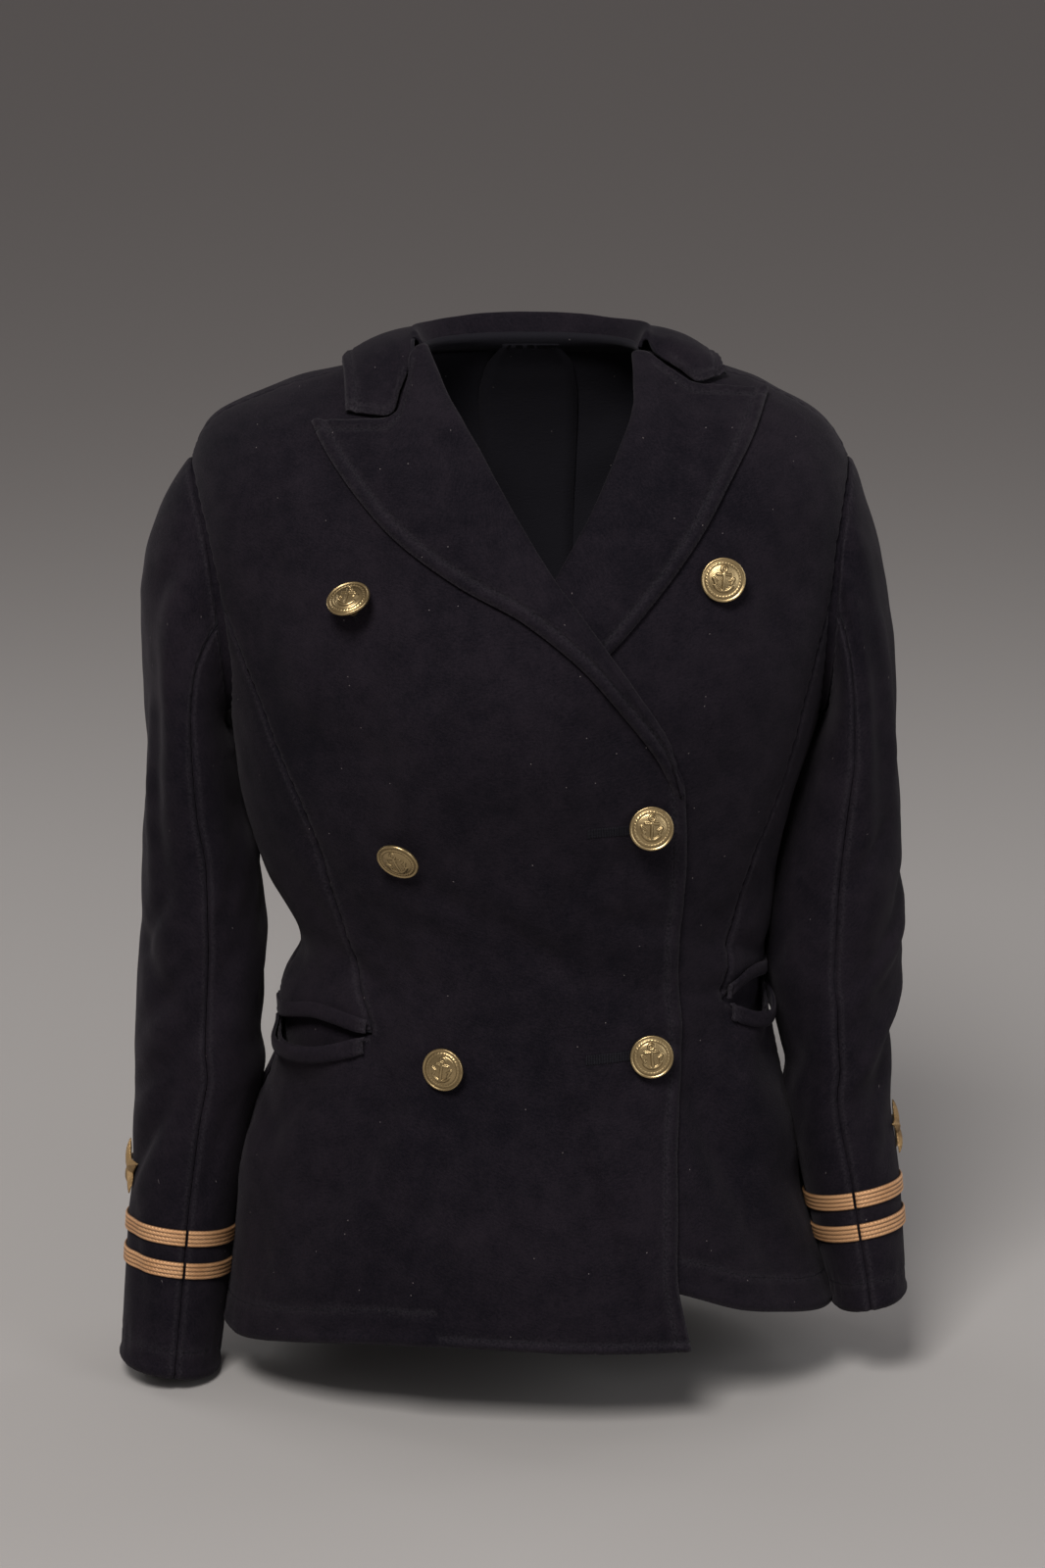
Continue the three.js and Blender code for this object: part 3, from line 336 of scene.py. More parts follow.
SMALL_FOLDS = [
    (-20, -300, 30, -345, 9, -1.0, True), (10, -395, 52, -520, 11, -1.6, True),
    (20, -392, 70, -528, 8, 0.9, True), (-30, -398, -96, -540, 12, -1.3, True),
    (-58, -402, -132, -528, 9, 1.2, True), (-112, -402, -158, -452, 7, -1.2, True),
    (-128, -258, -100, -300, 8, -1.4, True), (-140, -276, -110, -330, 7, -1.3, True),
    (-120, -330, -84, -350, 8, -1.5, True), (-86, -300, -40, -318, 9, -1.0, True),
    (-66, -276, -10, -312, 10, -0.9, True), (52, -262, 6, -300, 9, -0.9, True),
    (60, -398, 20, -430, 10, -1.0, True), (96, -300, 120, -330, 7, -1.4, True),
    (100, -322, 132, -342, 6, -1.6, True), (92, -352, 118, -358, 6, -1.2, True),
    (92, -412, 146, -524, 10, -2.7, True), (104, -404, 156, -508, 10, 1.7, True),
    (-150, -96, -120, -150, 12, -1.0, True), (-160, -120, -136, -185, 10, -1.1, True),
    (150, -92, 130, -150, 12, -1.0, True), (-116, -196, -60, -214, 12, -0.8, True),
    (120, -196, 100, -240, 11, -0.9, True), (-150, -470, -166, -548, 9, -1.4, True),
    (-30, -86, -70, -150, 16, -0.7, True), (40, -300, 78, -312, 7, -0.9, True),
    (-128, -262, -60, -300, 10, -1.6, False), (-100, -312, -20, -352, 9, -1.4, False),
    (120, -262, 60, -304, 10, -1.6, False), (96, -314, 22, -350, 9, -1.4, False),
    (-146, -96, -110, -140, 14, -1.4, False), (146, -96, 112, -140, 14, -1.4, False),
    (-30, -396, -52, -545, 14, -1.6, False), (30, -396, 44, -545, 14, -1.6, False),
    (-100, -402, -150, -520, 11, -1.8, False), (110, -400, 146, -520, 11, -1.8, False),
    (-60, -60, -20, -90, 15, -1.0, False), (64, -60, 24, -92, 15, -1.0, False),
]


def valley(fold, x, z):
    """How deep one fold is at a place: full along its line, fading at its ends and sides"""
    x1, z1, x2, z2, width, depth = fold[:6]
    dx, dz = x2 - x1, z2 - z1
    along = np.clip(((x - x1) * dx + (z - z1) * dz) / (dx * dx + dz * dz), 0, 1)
    gap = np.hypot(x - x1 - along * dx, z - z1 - along * dz)
    ends = 0.35 + 0.65 * np.sin(np.pi * np.clip(along * 0.9 + 0.05, 0, 1))
    return depth * ends * np.exp(-((gap / width) ** 2))


def body_folds(x, z, is_front):
    """All the folds at a place, those of the front or those of the back"""
    depth = np.zeros(np.broadcast(x, z).shape)
    for folds, strength in ((FOLDS, 1.0), (SMALL_FOLDS, SMALL_FOLD_STRENGTH)):
        for fold in folds:
            depth += strength * np.where(is_front == fold[6], valley(fold, x, z), 0)
    return depth


def waves(points, length, seed, count=16):
    """Slow uneven heights, mostly between -1 and 1, with bumps of about this length"""
    rng = np.random.default_rng(seed)
    ways = rng.normal(size=(count, 3))
    ways /= np.linalg.norm(ways, axis=1)[:, None]
    lengths = length * rng.uniform(0.7, 1.6, count)
    starts = rng.uniform(0, 2 * np.pi, count)
    total = np.zeros(points.shape[:-1])
    for way, size, start in zip(ways, lengths, starts):
        total += np.sin(points @ way * (2 * np.pi / size) + start)
    return total / math.sqrt(count / 2) / 2


print("folds on the body:", len(FOLDS), "large,", len(SMALL_FOLDS), "small")

# %% [markdown]
# ## Points on the body
# Any place on the body is an angle and a height: angle 0 is the middle of the front, and a
# quarter turn is a side seam. A panel is a range of angles at each height, so pieces that
# are cut beside each other share one smooth surface, as cloth on a body does.

# %% Points on the body
def unit(vectors):
    """The same directions with length 1"""
    return vectors / np.maximum(np.linalg.norm(vectors, axis=-1, keepdims=True), 1e-9)


def skin(angle, z):
    """Points of the smooth body without folds"""
    angle, z = np.broadcast_arrays(np.asarray(angle, float), np.asarray(z, float))
    s, c = np.sin(angle), np.cos(angle)
    power = np.where(c > 0, FRONT_POWER, BACK_POWER)
    half = np.where(s < 0, body["right"](z), body["left"](z))
    deep = np.where(c > 0, body["front"](z), body["back"](z))
    x = np.sign(s) * half * np.abs(s) ** (2 / power)
    y = -np.sign(c) * deep * np.abs(c) ** (2 / power)
    return np.stack([x, y, z], -1)


def on_body(angle, z, out=0.0):
    """Points of the folded cloth's outer face, and the way that it faces there"""
    angle, z = np.broadcast_arrays(np.asarray(angle, float), np.asarray(z, float))
    turn = 0.01
    here = skin(angle, z)
    across = skin(angle + turn, z) - skin(angle - turn, z)
    down = skin(angle, z - 1) - skin(angle, z + 1)
    face = unit(np.cross(down, across))
    fold = body_folds(here[..., 0], z, np.cos(angle) > 0)
    return here + face * (out + fold)[..., None], face


def front_angle(x, z):
    """The angle of a place on the front"""
    half = np.where(x < 0, body["right"](z), body["left"](z))
    share = np.clip(np.abs(x) / half, 0, 1)
    return np.sign(x) * np.arcsin(share ** (FRONT_POWER / 2))


def on_front(x, z, out=0.0):
    """A place on the front by its distance from the middle and its height"""
    return on_body(front_angle(x, z), z, out)


def smoothstep(value, low, high):
    """0 below low, 1 above high, with a soft rise between"""
    t = np.clip((value - low) / (high - low), 0, 1)
    return t * t * (3 - 2 * t)


def lap_out(x, z):
    """How far the right front stands out: over the left one, and more over its lapel"""
    lapped = smoothstep(x, -90, -64)
    low = np.clip(-z - 95, 0, 95) / 95
    near = 1 - smoothstep(np.abs(x - (50 + (-22 - 50) * low)), 30, 78)
    band = smoothstep(-z, 78, 112) * (1 - smoothstep(-z, 196, 262))
    return LAP * lapped + OVER_LAPEL * near * band


def row_height(row, x, side, hem_curve):
    """The height of a row at a place: it bends with the pocket mouth and meets the hem"""
    pocket = POCKETS[side]
    away = np.abs(x) - abs(pocket["inner"])
    slant = pocket["slope"] * np.clip(away / 55, 0, 1) - SIDE_DIP * smoothstep(away, 30, 74)
    slant = slant * np.exp(-(((row - pocket["row"]) / 55) ** 2))
    low = bend_share(row)
    return row + np.where(x * SIDES[side] > 0, slant, 0) + hem_curve(x) * low * low


def mouth(x, side, end=0.0):
    """0 to 1 along a pocket's mouth from its inner end, and down to a last value at the side"""
    pocket = POCKETS[side]
    inner = abs(pocket["inner"])
    reach = body[side](pocket["row"] + pocket["slope"]) - inner
    share = np.clip((np.abs(x) - inner) / reach, 0, 1)
    bow = np.sin(np.pi * share ** 1.3)
    bow = np.where(share > MOUTH_PEAK, end + (1 - end) * bow, bow)
    return np.where(np.sign(x) == np.sign(pocket["inner"]), bow, 0)


def armhole_angle(z, side, is_front):
    """The armhole's edge on the body at a height"""
    share = (z - ARMHOLE["middle"]) / ARMHOLE["half"]
    reach = np.where(is_front, ARMHOLE["front"], ARMHOLE["back"])
    reach = reach * np.sqrt(np.maximum(0, 1 - share * share))
    deep = np.where(is_front, body["front"](z), body["back"](z))
    power = np.where(is_front, FRONT_POWER, BACK_POWER)
    from_side = np.pi / 2 - np.arccos(np.clip((reach / deep) ** (power / 2), 0, 1))
    return SIDES[side] * (np.pi / 2 + np.where(is_front, -from_side, from_side))


def gap_angle(z):
    """Half a seam's gap as an angle"""
    return SEAM / 2 / np.minimum(body["right"](z), body["left"](z))


print("breast stands", round(float(-on_front(0, -178)[0][1])), "mm in front of the middle")

# %% [markdown]
# ## Sheets of cloth
# A piece of cloth is a grid of points for its outer face and a second grid for its inner
# face, joined all round the rim, so it has a real thickness. The rows and columns stand
# closer together towards the edges, where the cloth turns. A seam dips into a groove, and a
# folded edge swells between its rim and its row of stitches, as two or three layers do.

# %% Sheets of cloth
CELL = 3.5
# Distances from an edge at which the first rows of the grid stand
GRADE = np.array([0, 0.4, 1.0, 1.9, 3.0, 4.3, 5.9, 7.8])
GRADE_SHARE = 0.42
# Points at which a length is surveyed: down the body, and across a sheet
LONG_SURVEY = 3000
SURVEY = 121
PUCKER = 9.0
RIPPLE = 0.8
# Length, seed and strength of the slow and the quick waves of the cloth
SLOW_WAVE = (62, 5)
QUICK_WAVE = (21, 8)
QUICK_SHARE = 0.35


def graded(width, cell=CELL):
    """Distances across strips of these widths, close together near both edges"""
    width = np.atleast_1d(np.asarray(width, float))
    count = max(int(np.max(width) / cell), 3)
    scale = np.minimum(1, GRADE_SHARE * width / GRADE[-1])
    low = GRADE[None, :] * scale[:, None]
    middle = np.linspace(0, 1, count)[None, 1:-1]
    inside = low[:, -1:] + (width[:, None] - 2 * low[:, -1:]) * middle
    return np.concatenate([low, inside, width[:, None] - low[:, ::-1]], axis=1)


def travelled(points, axis):
    """The way along a grid's rows or columns up to each point"""
    steps = np.linalg.norm(np.diff(points, axis=axis), axis=-1)
    shape = list(points.shape[:-1])
    shape[axis] = 1
    return np.concatenate([np.zeros(shape), np.cumsum(steps, axis=axis)], axis=axis)


def stations(stops, cell=CELL):
    """Heights from the first stop to the last, closer together at each stop"""
    fine = np.linspace(stops[0], stops[-1], LONG_SURVEY)
    lean = np.abs([np.gradient(body[key](fine), fine) for key in ("right", "left", "front")])
    length = np.cumsum(np.sqrt(1 + (0.75 * lean.max(axis=0)) ** 2)) * abs(fine[1] - fine[0])
    at = np.interp([-stop for stop in stops], -fine, length)
    spots = [low + graded(high - low, cell)[0] for low, high in zip(at[:-1], at[1:])]
    heights = np.interp(np.unique(np.round(np.concatenate(spots), 4)), length, fine)
    for stop in stops:
        heights[np.argmin(np.abs(heights - stop))] = stop
    return heights


def lay_rows(heights, start, end, side, hem_curve, lift):
    """Points between two angles at each height, evenly spaced over the surface"""
    angles = start[:, None] + (end - start)[:, None] * np.linspace(0, 1, SURVEY)
    length = travelled(skin(angles, heights[:, None]), 1)
    spots = graded(length[:, -1])
    angle = np.array([np.interp(s, w, a) for s, w, a in zip(spots, length, angles)])
    x = skin(angle, heights[:, None])[..., 0]
    z = row_height(heights[:, None], x, side, hem_curve)
    out, fall = lift(x, z, heights[:, None])
    points, face = on_body(angle, z + fall, out)
    return points, face, spots


def seam_edge(distance):
    """The groove of a sewn seam"""
    return -1.15 * np.exp(-((distance / 1.3) ** 2)) - 0.4 * np.exp(-((distance / 6) ** 2))


def folded_edge(distance, stitch):
    """A turned edge with a row of stitches this far inside it"""
    rim = -1.0 * np.exp(-((distance / 1.1) ** 2))
    bead = np.minimum(stitch, 8)
    swell = 1.15 * np.exp(-(((distance - 0.48 * bead) / (0.34 * bead)) ** 2))
    return rim + swell - 1.05 * np.exp(-(((distance - stitch) / 1.35) ** 2))


def puckers(distance, along, seed):
    """Small ripples across a seam, which die away from it"""
    drift = 1.8 * np.sin(along / 23 + seed) + 1.1 * np.sin(along / 41 + 2.3 * seed)
    return 0.38 * np.exp(-((distance / 7) ** 2)) * np.sin(2 * np.pi * along / PUCKER + drift)


def make_mesh(name, points, faces, uv=None, layers=None):
    """A mesh with smooth faces from points in millimetres, turned the right way out"""
    corners = np.array([corner for face in faces for corner in face])
    used, place = np.unique(corners, return_inverse=True)
    points = points[used]
    sizes = [len(face) for face in faces]
    starts = np.concatenate([[0], np.cumsum(sizes)[:-1]])
    first, second, third = (points[place[starts + k]] for k in range(3))
    volume = np.einsum("ij,ij->i", first, np.cross(second, third)).sum()
    quads = np.array(sizes) == 4
    fourth = points[place[starts[quads] + 3]]
    volume += np.einsum("ij,ij->i", first[quads], np.cross(third[quads], fourth)).sum()
    step = -1 if volume < 0 else 1
    order = [place[s:s + n][::step] for s, n in zip(starts, sizes)]
    mesh = bpy.data.meshes.new(name)
    mesh.from_pydata((points * MM).tolist(), [], [face.tolist() for face in order])
    flat = np.concatenate(order)
    if uv is not None:
        mesh.uv_layers.new(name="Cloth").data.foreach_set("uv", (uv[used] * MM)[flat].ravel())
    for layer, values in (layers or {}).items():
        mesh.attributes.new(layer, "FLOAT", "POINT").data.foreach_set("value", values[used])
    mesh.polygons.foreach_set("use_smooth", np.ones(len(faces), bool))
    mesh.update()
    return mesh


def grid_quads(number):
    """The four corners of each cell of a grid of numbers"""
    return np.stack([number[:-1, :-1], number[1:, :-1], number[1:, 1:], number[:-1, 1:]], -1)


def open_corners(quads):
    """The same faces, where those with a corner twice become triangles"""
    return [[c for k, c in enumerate(quad) if c != quad[k - 1]] for quad in quads.tolist()]


def shell(name, outer, inner, keep, wear):
    """A closed sheet between an outer and an inner grid of points"""
    rows, cols = outer.shape[:2]
    count = rows * cols
    number = np.arange(count).reshape(rows, cols)
    quads = grid_quads(number)[keep]
    edges = np.stack([quads, np.roll(quads, -1, axis=1)], -1).reshape(-1, 2)
    forward = edges[:, 0] * count + edges[:, 1]
    rim = edges[~np.isin(forward, edges[:, 1] * count + edges[:, 0])]
    sides = np.stack([rim[:, 0], rim[:, 0] + count, rim[:, 1] + count, rim[:, 1]], -1)
    faces = np.concatenate([quads, quads[:, ::-1] + count, sides])
    points = np.concatenate([outer.reshape(-1, 3), inner.reshape(-1, 3)])
    uv = np.stack([travelled(outer, 1), travelled(outer, 0)], -1).reshape(-1, 2)
    inside = np.concatenate([np.zeros(count), np.ones(count)])
    layers = {"wear": np.tile(wear.ravel(), 2), "inside": inside}
    return make_mesh(name, points, faces, np.tile(uv, (2, 1)), layers)


def rippled(points, ripple):
    """How far cloth waves in and out at these points"""
    return ripple * (waves(points, *SLOW_WAVE) + QUICK_SHARE * waves(points, *QUICK_WAVE))


def tailor(name, points, face, edges, keep=None, thick=CLOTH, ripple=RIPPLE):
    """Cloth over a grid of points: edges are (kind, distance, along, stitch) for each side"""
    rows, cols = points.shape[:2]
    keep = np.ones((rows - 1, cols - 1), bool) if keep is None else keep
    relief = rippled(points, ripple)
    wear = np.zeros((rows, cols))
    nearest = np.full((rows, cols), FAR)
    for number, (kind, distance, along, stitch) in enumerate(edges):
        if kind != "tuck":
            nearest = np.minimum(nearest, distance)
        if kind == "seam":
            relief += seam_edge(distance) + puckers(distance, along, number + 1.0)
            wear += 0.6 * np.exp(-(((distance - 2.4) / 1.3) ** 2))
        elif kind == "fold":
            relief += folded_edge(distance, stitch) + puckers(distance - stitch, along, number + 3.0)
            wear += 1.1 * np.exp(-((distance / 1.6) ** 2))
            wear += 0.6 * np.exp(-(((distance - stitch) / 2.2) ** 2))
        elif kind == "tuck":
            relief -= 0.9 * np.exp(-((distance / 1.3) ** 2))
    wall = thick * (1 - 0.6 * np.exp(-((nearest / 0.55) ** 2)))
    outer = points + face * relief[..., None]
    inner = points - face * (thick - 0.5 * (thick - wall))[..., None]
    inner += face * (np.clip(relief, -0.9, 0.3) * 0.6)[..., None]
    return outer, shell(name, outer, inner, keep, wear)


print("cloth is drawn with a mesh of about", CELL, "mm")

# %% [markdown]
# ## Cloth material
# Brushed knit has no clear stripes or checks: its short nap hides the stitches. What the eye
# reads is a soft mottled black-blue, streaks where the nap lies in rows, a pale bloom at
# grazing angles, worn paler edges, and a few specks of lint. The sheen layer of the shader
# gives the bloom, and small noise in the bump gives the nap.

# %% Cloth material
NAVY_DEEP = (0.0022, 0.0017, 0.0042, 1)
NAVY_WORN = (0.0128, 0.0096, 0.0142, 1)
NAVY_EDGE = (0.0290, 0.0255, 0.0310, 1)
NAVY_INSIDE = (0.0100, 0.0095, 0.0130, 1)
LINT = (0.16, 0.14, 0.14, 1)


def add_node(tree, kind, **values):
    """A node with properties and inputs set by name"""
    node = tree.nodes.new(kind)
    for key, value in values.items():
        name = key.replace("_", " ")
        if name in node.inputs:
            node.inputs[name].default_value = value
        else:
            setattr(node, key, value)
    return node


def noise(tree, place, scale, detail=3.0, roughness=0.6, stretch=None):
    """A noise texture on a piece's own coordinates, stretched along an axis if asked"""
    if stretch:
        mapping = add_node(tree, "ShaderNodeMapping", Scale=stretch)
        tree.links.new(place, mapping.inputs["Vector"])
        place = mapping.outputs["Vector"]
    texture = add_node(tree, "ShaderNodeTexNoise", Scale=scale, Detail=detail, Roughness=roughness)
    tree.links.new(place, texture.inputs["Vector"])
    return texture.outputs["Fac"]


def ramp(tree, value, low, high):
    """0 below low and 1 above high"""
    node = add_node(tree, "ShaderNodeMapRange", interpolation_type="SMOOTHSTEP")
    node.inputs["From Min"].default_value = low
    node.inputs["From Max"].default_value = high
    tree.links.new(value, node.inputs["Value"])
    return node.outputs["Result"]


def combine(tree, how, first, second):
    """Arithmetic on two values, either of which may be a plain number"""
    node = add_node(tree, "ShaderNodeMath", operation=how)
    for socket, value in zip(node.inputs, (first, second)):
        if isinstance(value, (int, float)):
            socket.default_value = value
        else:
            tree.links.new(value, socket)
    return node.outputs[0]


def blend(tree, factor, first, second):
    """A colour between two, either of which may be a plain colour"""
    node = add_node(tree, "ShaderNodeMix", data_type="RGBA")
    tree.links.new(factor, node.inputs["Factor"])
    for socket, value in zip((node.inputs[6], node.inputs[7]), (first, second)):
        if isinstance(value, tuple):
            socket.default_value = value
        else:
            tree.links.new(value, socket)
    return node.outputs[2]


def cloth_material():
    """Heavy brushed knit, navy black"""
    material, tree, shader = start_material("brushed knit")
    place = add_node(tree, "ShaderNodeTexCoord").outputs["Object"]
    flat = add_node(tree, "ShaderNodeUVMap", uv_map="Cloth").outputs["UV"]
    nap = noise(tree, place, 900, 5, 0.7)
    streaks = noise(tree, flat, 1.0, 4, 0.65, stretch=(260, 900, 1))
    mottle = noise(tree, place, 70, 4, 0.6)
    fade = noise(tree, place, 9, 2, 0.5)
    tone = combine(tree, "MULTIPLY", combine(tree, "ADD", mottle, streaks), 0.3)
    for texture, strength in ((nap, 0.45), (fade, 0.3)):
        tone = combine(tree, "ADD", tone, combine(tree, "MULTIPLY", texture, strength))
    tone = ramp(tree, tone, 0.50, 0.86)
    colour = blend(tree, tone, NAVY_DEEP, NAVY_WORN)
    wear = add_node(tree, "ShaderNodeAttribute", attribute_name="wear").outputs["Fac"]
    rubbed = combine(tree, "MULTIPLY", wear, ramp(tree, nap, 0.30, 0.72))
    colour = blend(tree, rubbed, colour, NAVY_EDGE)
    inside = add_node(tree, "ShaderNodeAttribute", attribute_name="inside").outputs["Fac"]
    colour = blend(tree, inside, colour, NAVY_INSIDE)
    specks = add_node(tree, "ShaderNodeTexVoronoi", voronoi_dimensions="2D", Scale=62.0)
    tree.links.new(flat, specks.inputs["Vector"])
    chosen = add_node(tree, "ShaderNodeSeparateColor")
    tree.links.new(specks.outputs["Color"], chosen.inputs["Color"])
    closeness = combine(tree, "MULTIPLY", specks.outputs["Distance"], -1.0)
    near = ramp(tree, closeness, -0.024, -0.012)
    lint = combine(tree, "MULTIPLY", near, ramp(tree, chosen.outputs[0], 0.86, 0.88))
    colour = blend(tree, lint, colour, LINT)
    tree.links.new(colour, shader.inputs["Base Color"])
    set_finish(
        shader, Roughness=0.88, Specular_IOR_Level=0.12, Sheen_Weight=0.04, Sheen_Roughness=0.42,
        Sheen_Tint=(0.78, 0.72, 0.80, 1))
    fine = add_node(tree, "ShaderNodeBump", Strength=0.8, Distance=0.00040)
    height = combine(tree, "ADD", nap, combine(tree, "MULTIPLY", streaks, 0.6))
    tree.links.new(height, fine.inputs["Height"])
    broad = add_node(tree, "ShaderNodeBump", Strength=0.35, Distance=0.0009)
    tree.links.new(mottle, broad.inputs["Height"])
    tree.links.new(fine.outputs["Normal"], broad.inputs["Normal"])
    tree.links.new(broad.outputs["Normal"], shader.inputs["Normal"])
    return material


knit = cloth_material()
print("cloth material has", len(knit.node_tree.nodes), "nodes")

# %% [markdown]
# ## The body panels
# Each front runs from its free edge to the princess seam and the armhole, and below the
# pocket on to the side seam. The side panel fills the corner between princess seam and side
# seam, and two back panels meet down the middle of the back.


def place_piece(name, mesh, material, nodes):
    """Puts a mesh in the scene in place of the solids that it stands for"""
    mesh.materials.clear()
    mesh.materials.append(material)
    piece = bpy.data.objects.new(name, mesh)
    bpy.context.collection.objects.link(piece)
    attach(piece, "root")
    if nodes:
        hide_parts(*nodes)
    return piece


def place_cloth(node, mesh):
    """A finer sheet in place of a cloth solid"""
    return place_piece(f"{node}_cloth", mesh, knit, [node])


# %% Front panels
EDGE_STITCH = 7.4
HEM_STITCH = 20.0
# Past this place on the lapped front the hem is stitched close to its edge
HEM_STEP = -53.0
LOW_STITCH = 5.6
# Above these heights the lapel covers the front edge
EDGE_BARE = {"right": -222, "left": -208}
lines = {}


def front_panel(side):
    """Front panel: a main part, and a skirt that runs to the side seam below the pocket"""
    sign = SIDES[side]
    pocket = POCKETS[side]
    heights = stations([-2, pocket["row"], LAST_ROW])
    gap = gap_angle(heights)
    inner = front_angle(edge[side](heights), heights)
    hole = np.abs(armhole_angle(heights, side, True))
    sewn = np.minimum(np.abs(front_angle(princess[side](heights), heights)), hole)
    seam = np.where(heights > PRINCESS_START[side], hole, sewn)
    seam = sign * np.where(heights > ARMHOLE_TOP, np.pi / 2, seam) - sign * gap
    low = heights <= pocket["row"]

    def lip(x, z, row):
        near = np.exp(-(((row - pocket["row"]) / LOWER_LIP_REACH) ** 2)) * (row <= pocket["row"])
        lapped = lap_out(x, z) if side == "right" else 0
        gape = pocket["gape"] * mouth(x, side, GAPE_END) * near
        return lapped + gape, -(pocket["drop"] * mouth(x, side, LOWER_END) + SEAM) * near

    hem_curve = hem[f"front_{side}"]
    main, main_face, main_spots = lay_rows(heights, seam, inner, side, hem_curve, lip)
    outer = sign * (np.pi / 2 - gap)
    skirt, skirt_face, skirt_spots = lay_rows(heights, outer, seam, side, hem_curve, lip)
    points = np.concatenate([skirt[:, :-1], main], axis=1)
    face = np.concatenate([skirt_face[:, :-1], main_face], axis=1)
    split = skirt.shape[1] - 1
    reach = np.where(low, skirt_spots[:, -1], 0)[:, None]
    from_seam = np.concatenate([skirt_spots[:, :-1], main_spots + reach], axis=1)
    total = main_spots[:, -1:]
    skirt_way = skirt_spots[:, -1:] - skirt_spots[:, :-1]
    to_edge = np.concatenate([total + skirt_way, total - main_spots], axis=1)
    down = travelled(points, 0)
    up = down[-1:] - down
    first_low = int(np.argmax(low))
    below_mouth = np.full(down.shape, FAR)
    below_mouth[:, :split] = (down - down[first_low])[:, :split]
    below_mouth = np.abs(below_mouth)
    across = travelled(points, 1)
    keep = np.ones((len(heights) - 1, points.shape[1] - 1), bool)
    keep[:first_low, :split] = False
    folded = np.where(heights[:, None] < EDGE_BARE[side], to_edge, FAR)
    stepped = (points[..., 0] > HEM_STEP) & (side == "right")
    hem_depth = np.where(stepped, LOW_STITCH, HEM_STITCH)
    near_step = np.abs(points[..., 0] - HEM_STEP) + np.where(up > HEM_STITCH, FAR, 0)
    near_step = near_step if side == "right" else near_step + FAR
    edges = [
        ("seam", from_seam, down, 0), ("fold", folded, down, EDGE_STITCH),
        ("fold", up, across, hem_depth), ("seam", below_mouth, across, 0),
        ("tuck", near_step, up, 0),
    ]
    outer_points, mesh = tailor(f"front_{side}_cloth", points, face, edges, keep)
    lines[f"front_{side}"] = dict(
        points=outer_points, up=up, to_edge=to_edge, heights=heights, hem_depth=hem_depth)
    return mesh


for side in SIDES:
    piece = place_cloth(f"front_{side}", front_panel(side))
    print(piece.name, len(piece.data.polygons), "faces")


# %% Side panels and back panels
# The side panel is never narrower than this, in radians
LEAST_WIDTH = 0.012


def both_seams(spots, down):
    """The seams down the two sides of a sheet"""
    return [("seam", spots, down, 0), ("seam", spots[:, -1:] - spots, down, 0)]


def side_panel(side):
    """The panel between princess seam and side seam, above the pocket"""
    sign = SIDES[side]
    pocket = POCKETS[side]
    heights = stations([PRINCESS_START[side], pocket["row"]])
    gap = gap_angle(heights)
    inner = np.abs(front_angle(princess[side](heights), heights)) + gap * 2
    hole = np.abs(armhole_angle(heights, side, True))
    outer = np.maximum(np.where(heights > BREAK, hole, np.pi / 2) - gap, inner + LEAST_WIDTH)

    def lip(x, z, row):
        near = np.exp(-(((row - pocket["row"]) / UPPER_LIP_REACH) ** 2))
        return 0 * x, pocket["rise"] * mouth(x, side, UPPER_END) * near + SEAM * near

    points, face, spots = lay_rows(
        heights, sign * outer, sign * inner, side, hem[f"front_{side}"], lip)
    down = travelled(points, 0)
    across = travelled(points, 1)
    edges = both_seams(spots, down) + [("seam", down[-1:] - down, across, 0)]
    return tailor(f"side_front_{side}_cloth", points, face, edges)[1]


def back_panel(side):
    """Half of the back, from the middle seam to the side seam and the armhole"""
    sign = SIDES[side]
    heights = stations([-2, ARMHOLE_TOP, BREAK, LAST_ROW])
    gap = gap_angle(heights)
    hole = np.abs(armhole_angle(heights, side, False))
    outer = np.where((heights < ARMHOLE_TOP) & (heights > BREAK), hole, np.pi / 2) + gap
    middle = np.pi - SEAM / 2 / body["right"](heights)
    points, face, spots = lay_rows(
        heights, sign * middle, sign * outer, side, hem["back"], lambda x, z, row: (0 * x, 0 * x))
    down = travelled(points, 0)
    up = down[-1:] - down
    across = travelled(points, 1)
    edges = both_seams(spots, down) + [("fold", up, across, HEM_STITCH)]
    outer_points, mesh = tailor(f"back_{side}_cloth", points, face, edges)
    lines[f"back_{side}"] = dict(points=outer_points, up=up)
    return mesh


for side in SIDES:
    for node, mesh in ((f"side_front_{side}", side_panel(side)), (f"back_{side}", back_panel(side))):
        piece = place_cloth(node, mesh)
        print(piece.name, len(piece.data.polygons), "faces")

# %% [markdown]
# ## Lapels
# A lapel is the front turned back along its roll line. Each row of the table is one line
# across it, from the roll to the outer edge, and the cloth wraps the roll, lies flat on the
# front and ends in a peak. The row's few points become one soft curve before the sheet gets
# its thickness.

# %% Lapels
LAPELS = {
    "right": ((-77, -32), [
        (-60, -1, -121, -33), (-54, -12, -115, -43), (-47, -24, -107, -54), (-30, -48, -77, -87),
        (-8, -83, -40, -113), (11, -112, -3, -133), (32, -140, 25, -154), (55, -171, 49, -181),
        (73, -200, 67, -206), (84, -228, 79, -231),
    ]),
    "left": ((92, -17), [
        (60, -1, 132, -21), (60, -11, 127, -31), (60, -22, 121, -42), (51, -45, 108, -63),
        (39, -70, 94, -86), (24, -96, 78, -108), (8, -122, 57, -133), (-10, -147, 38, -152),
        (-26, -170, 8, -174), (-40, -190, -32, -193),
    ]),
}
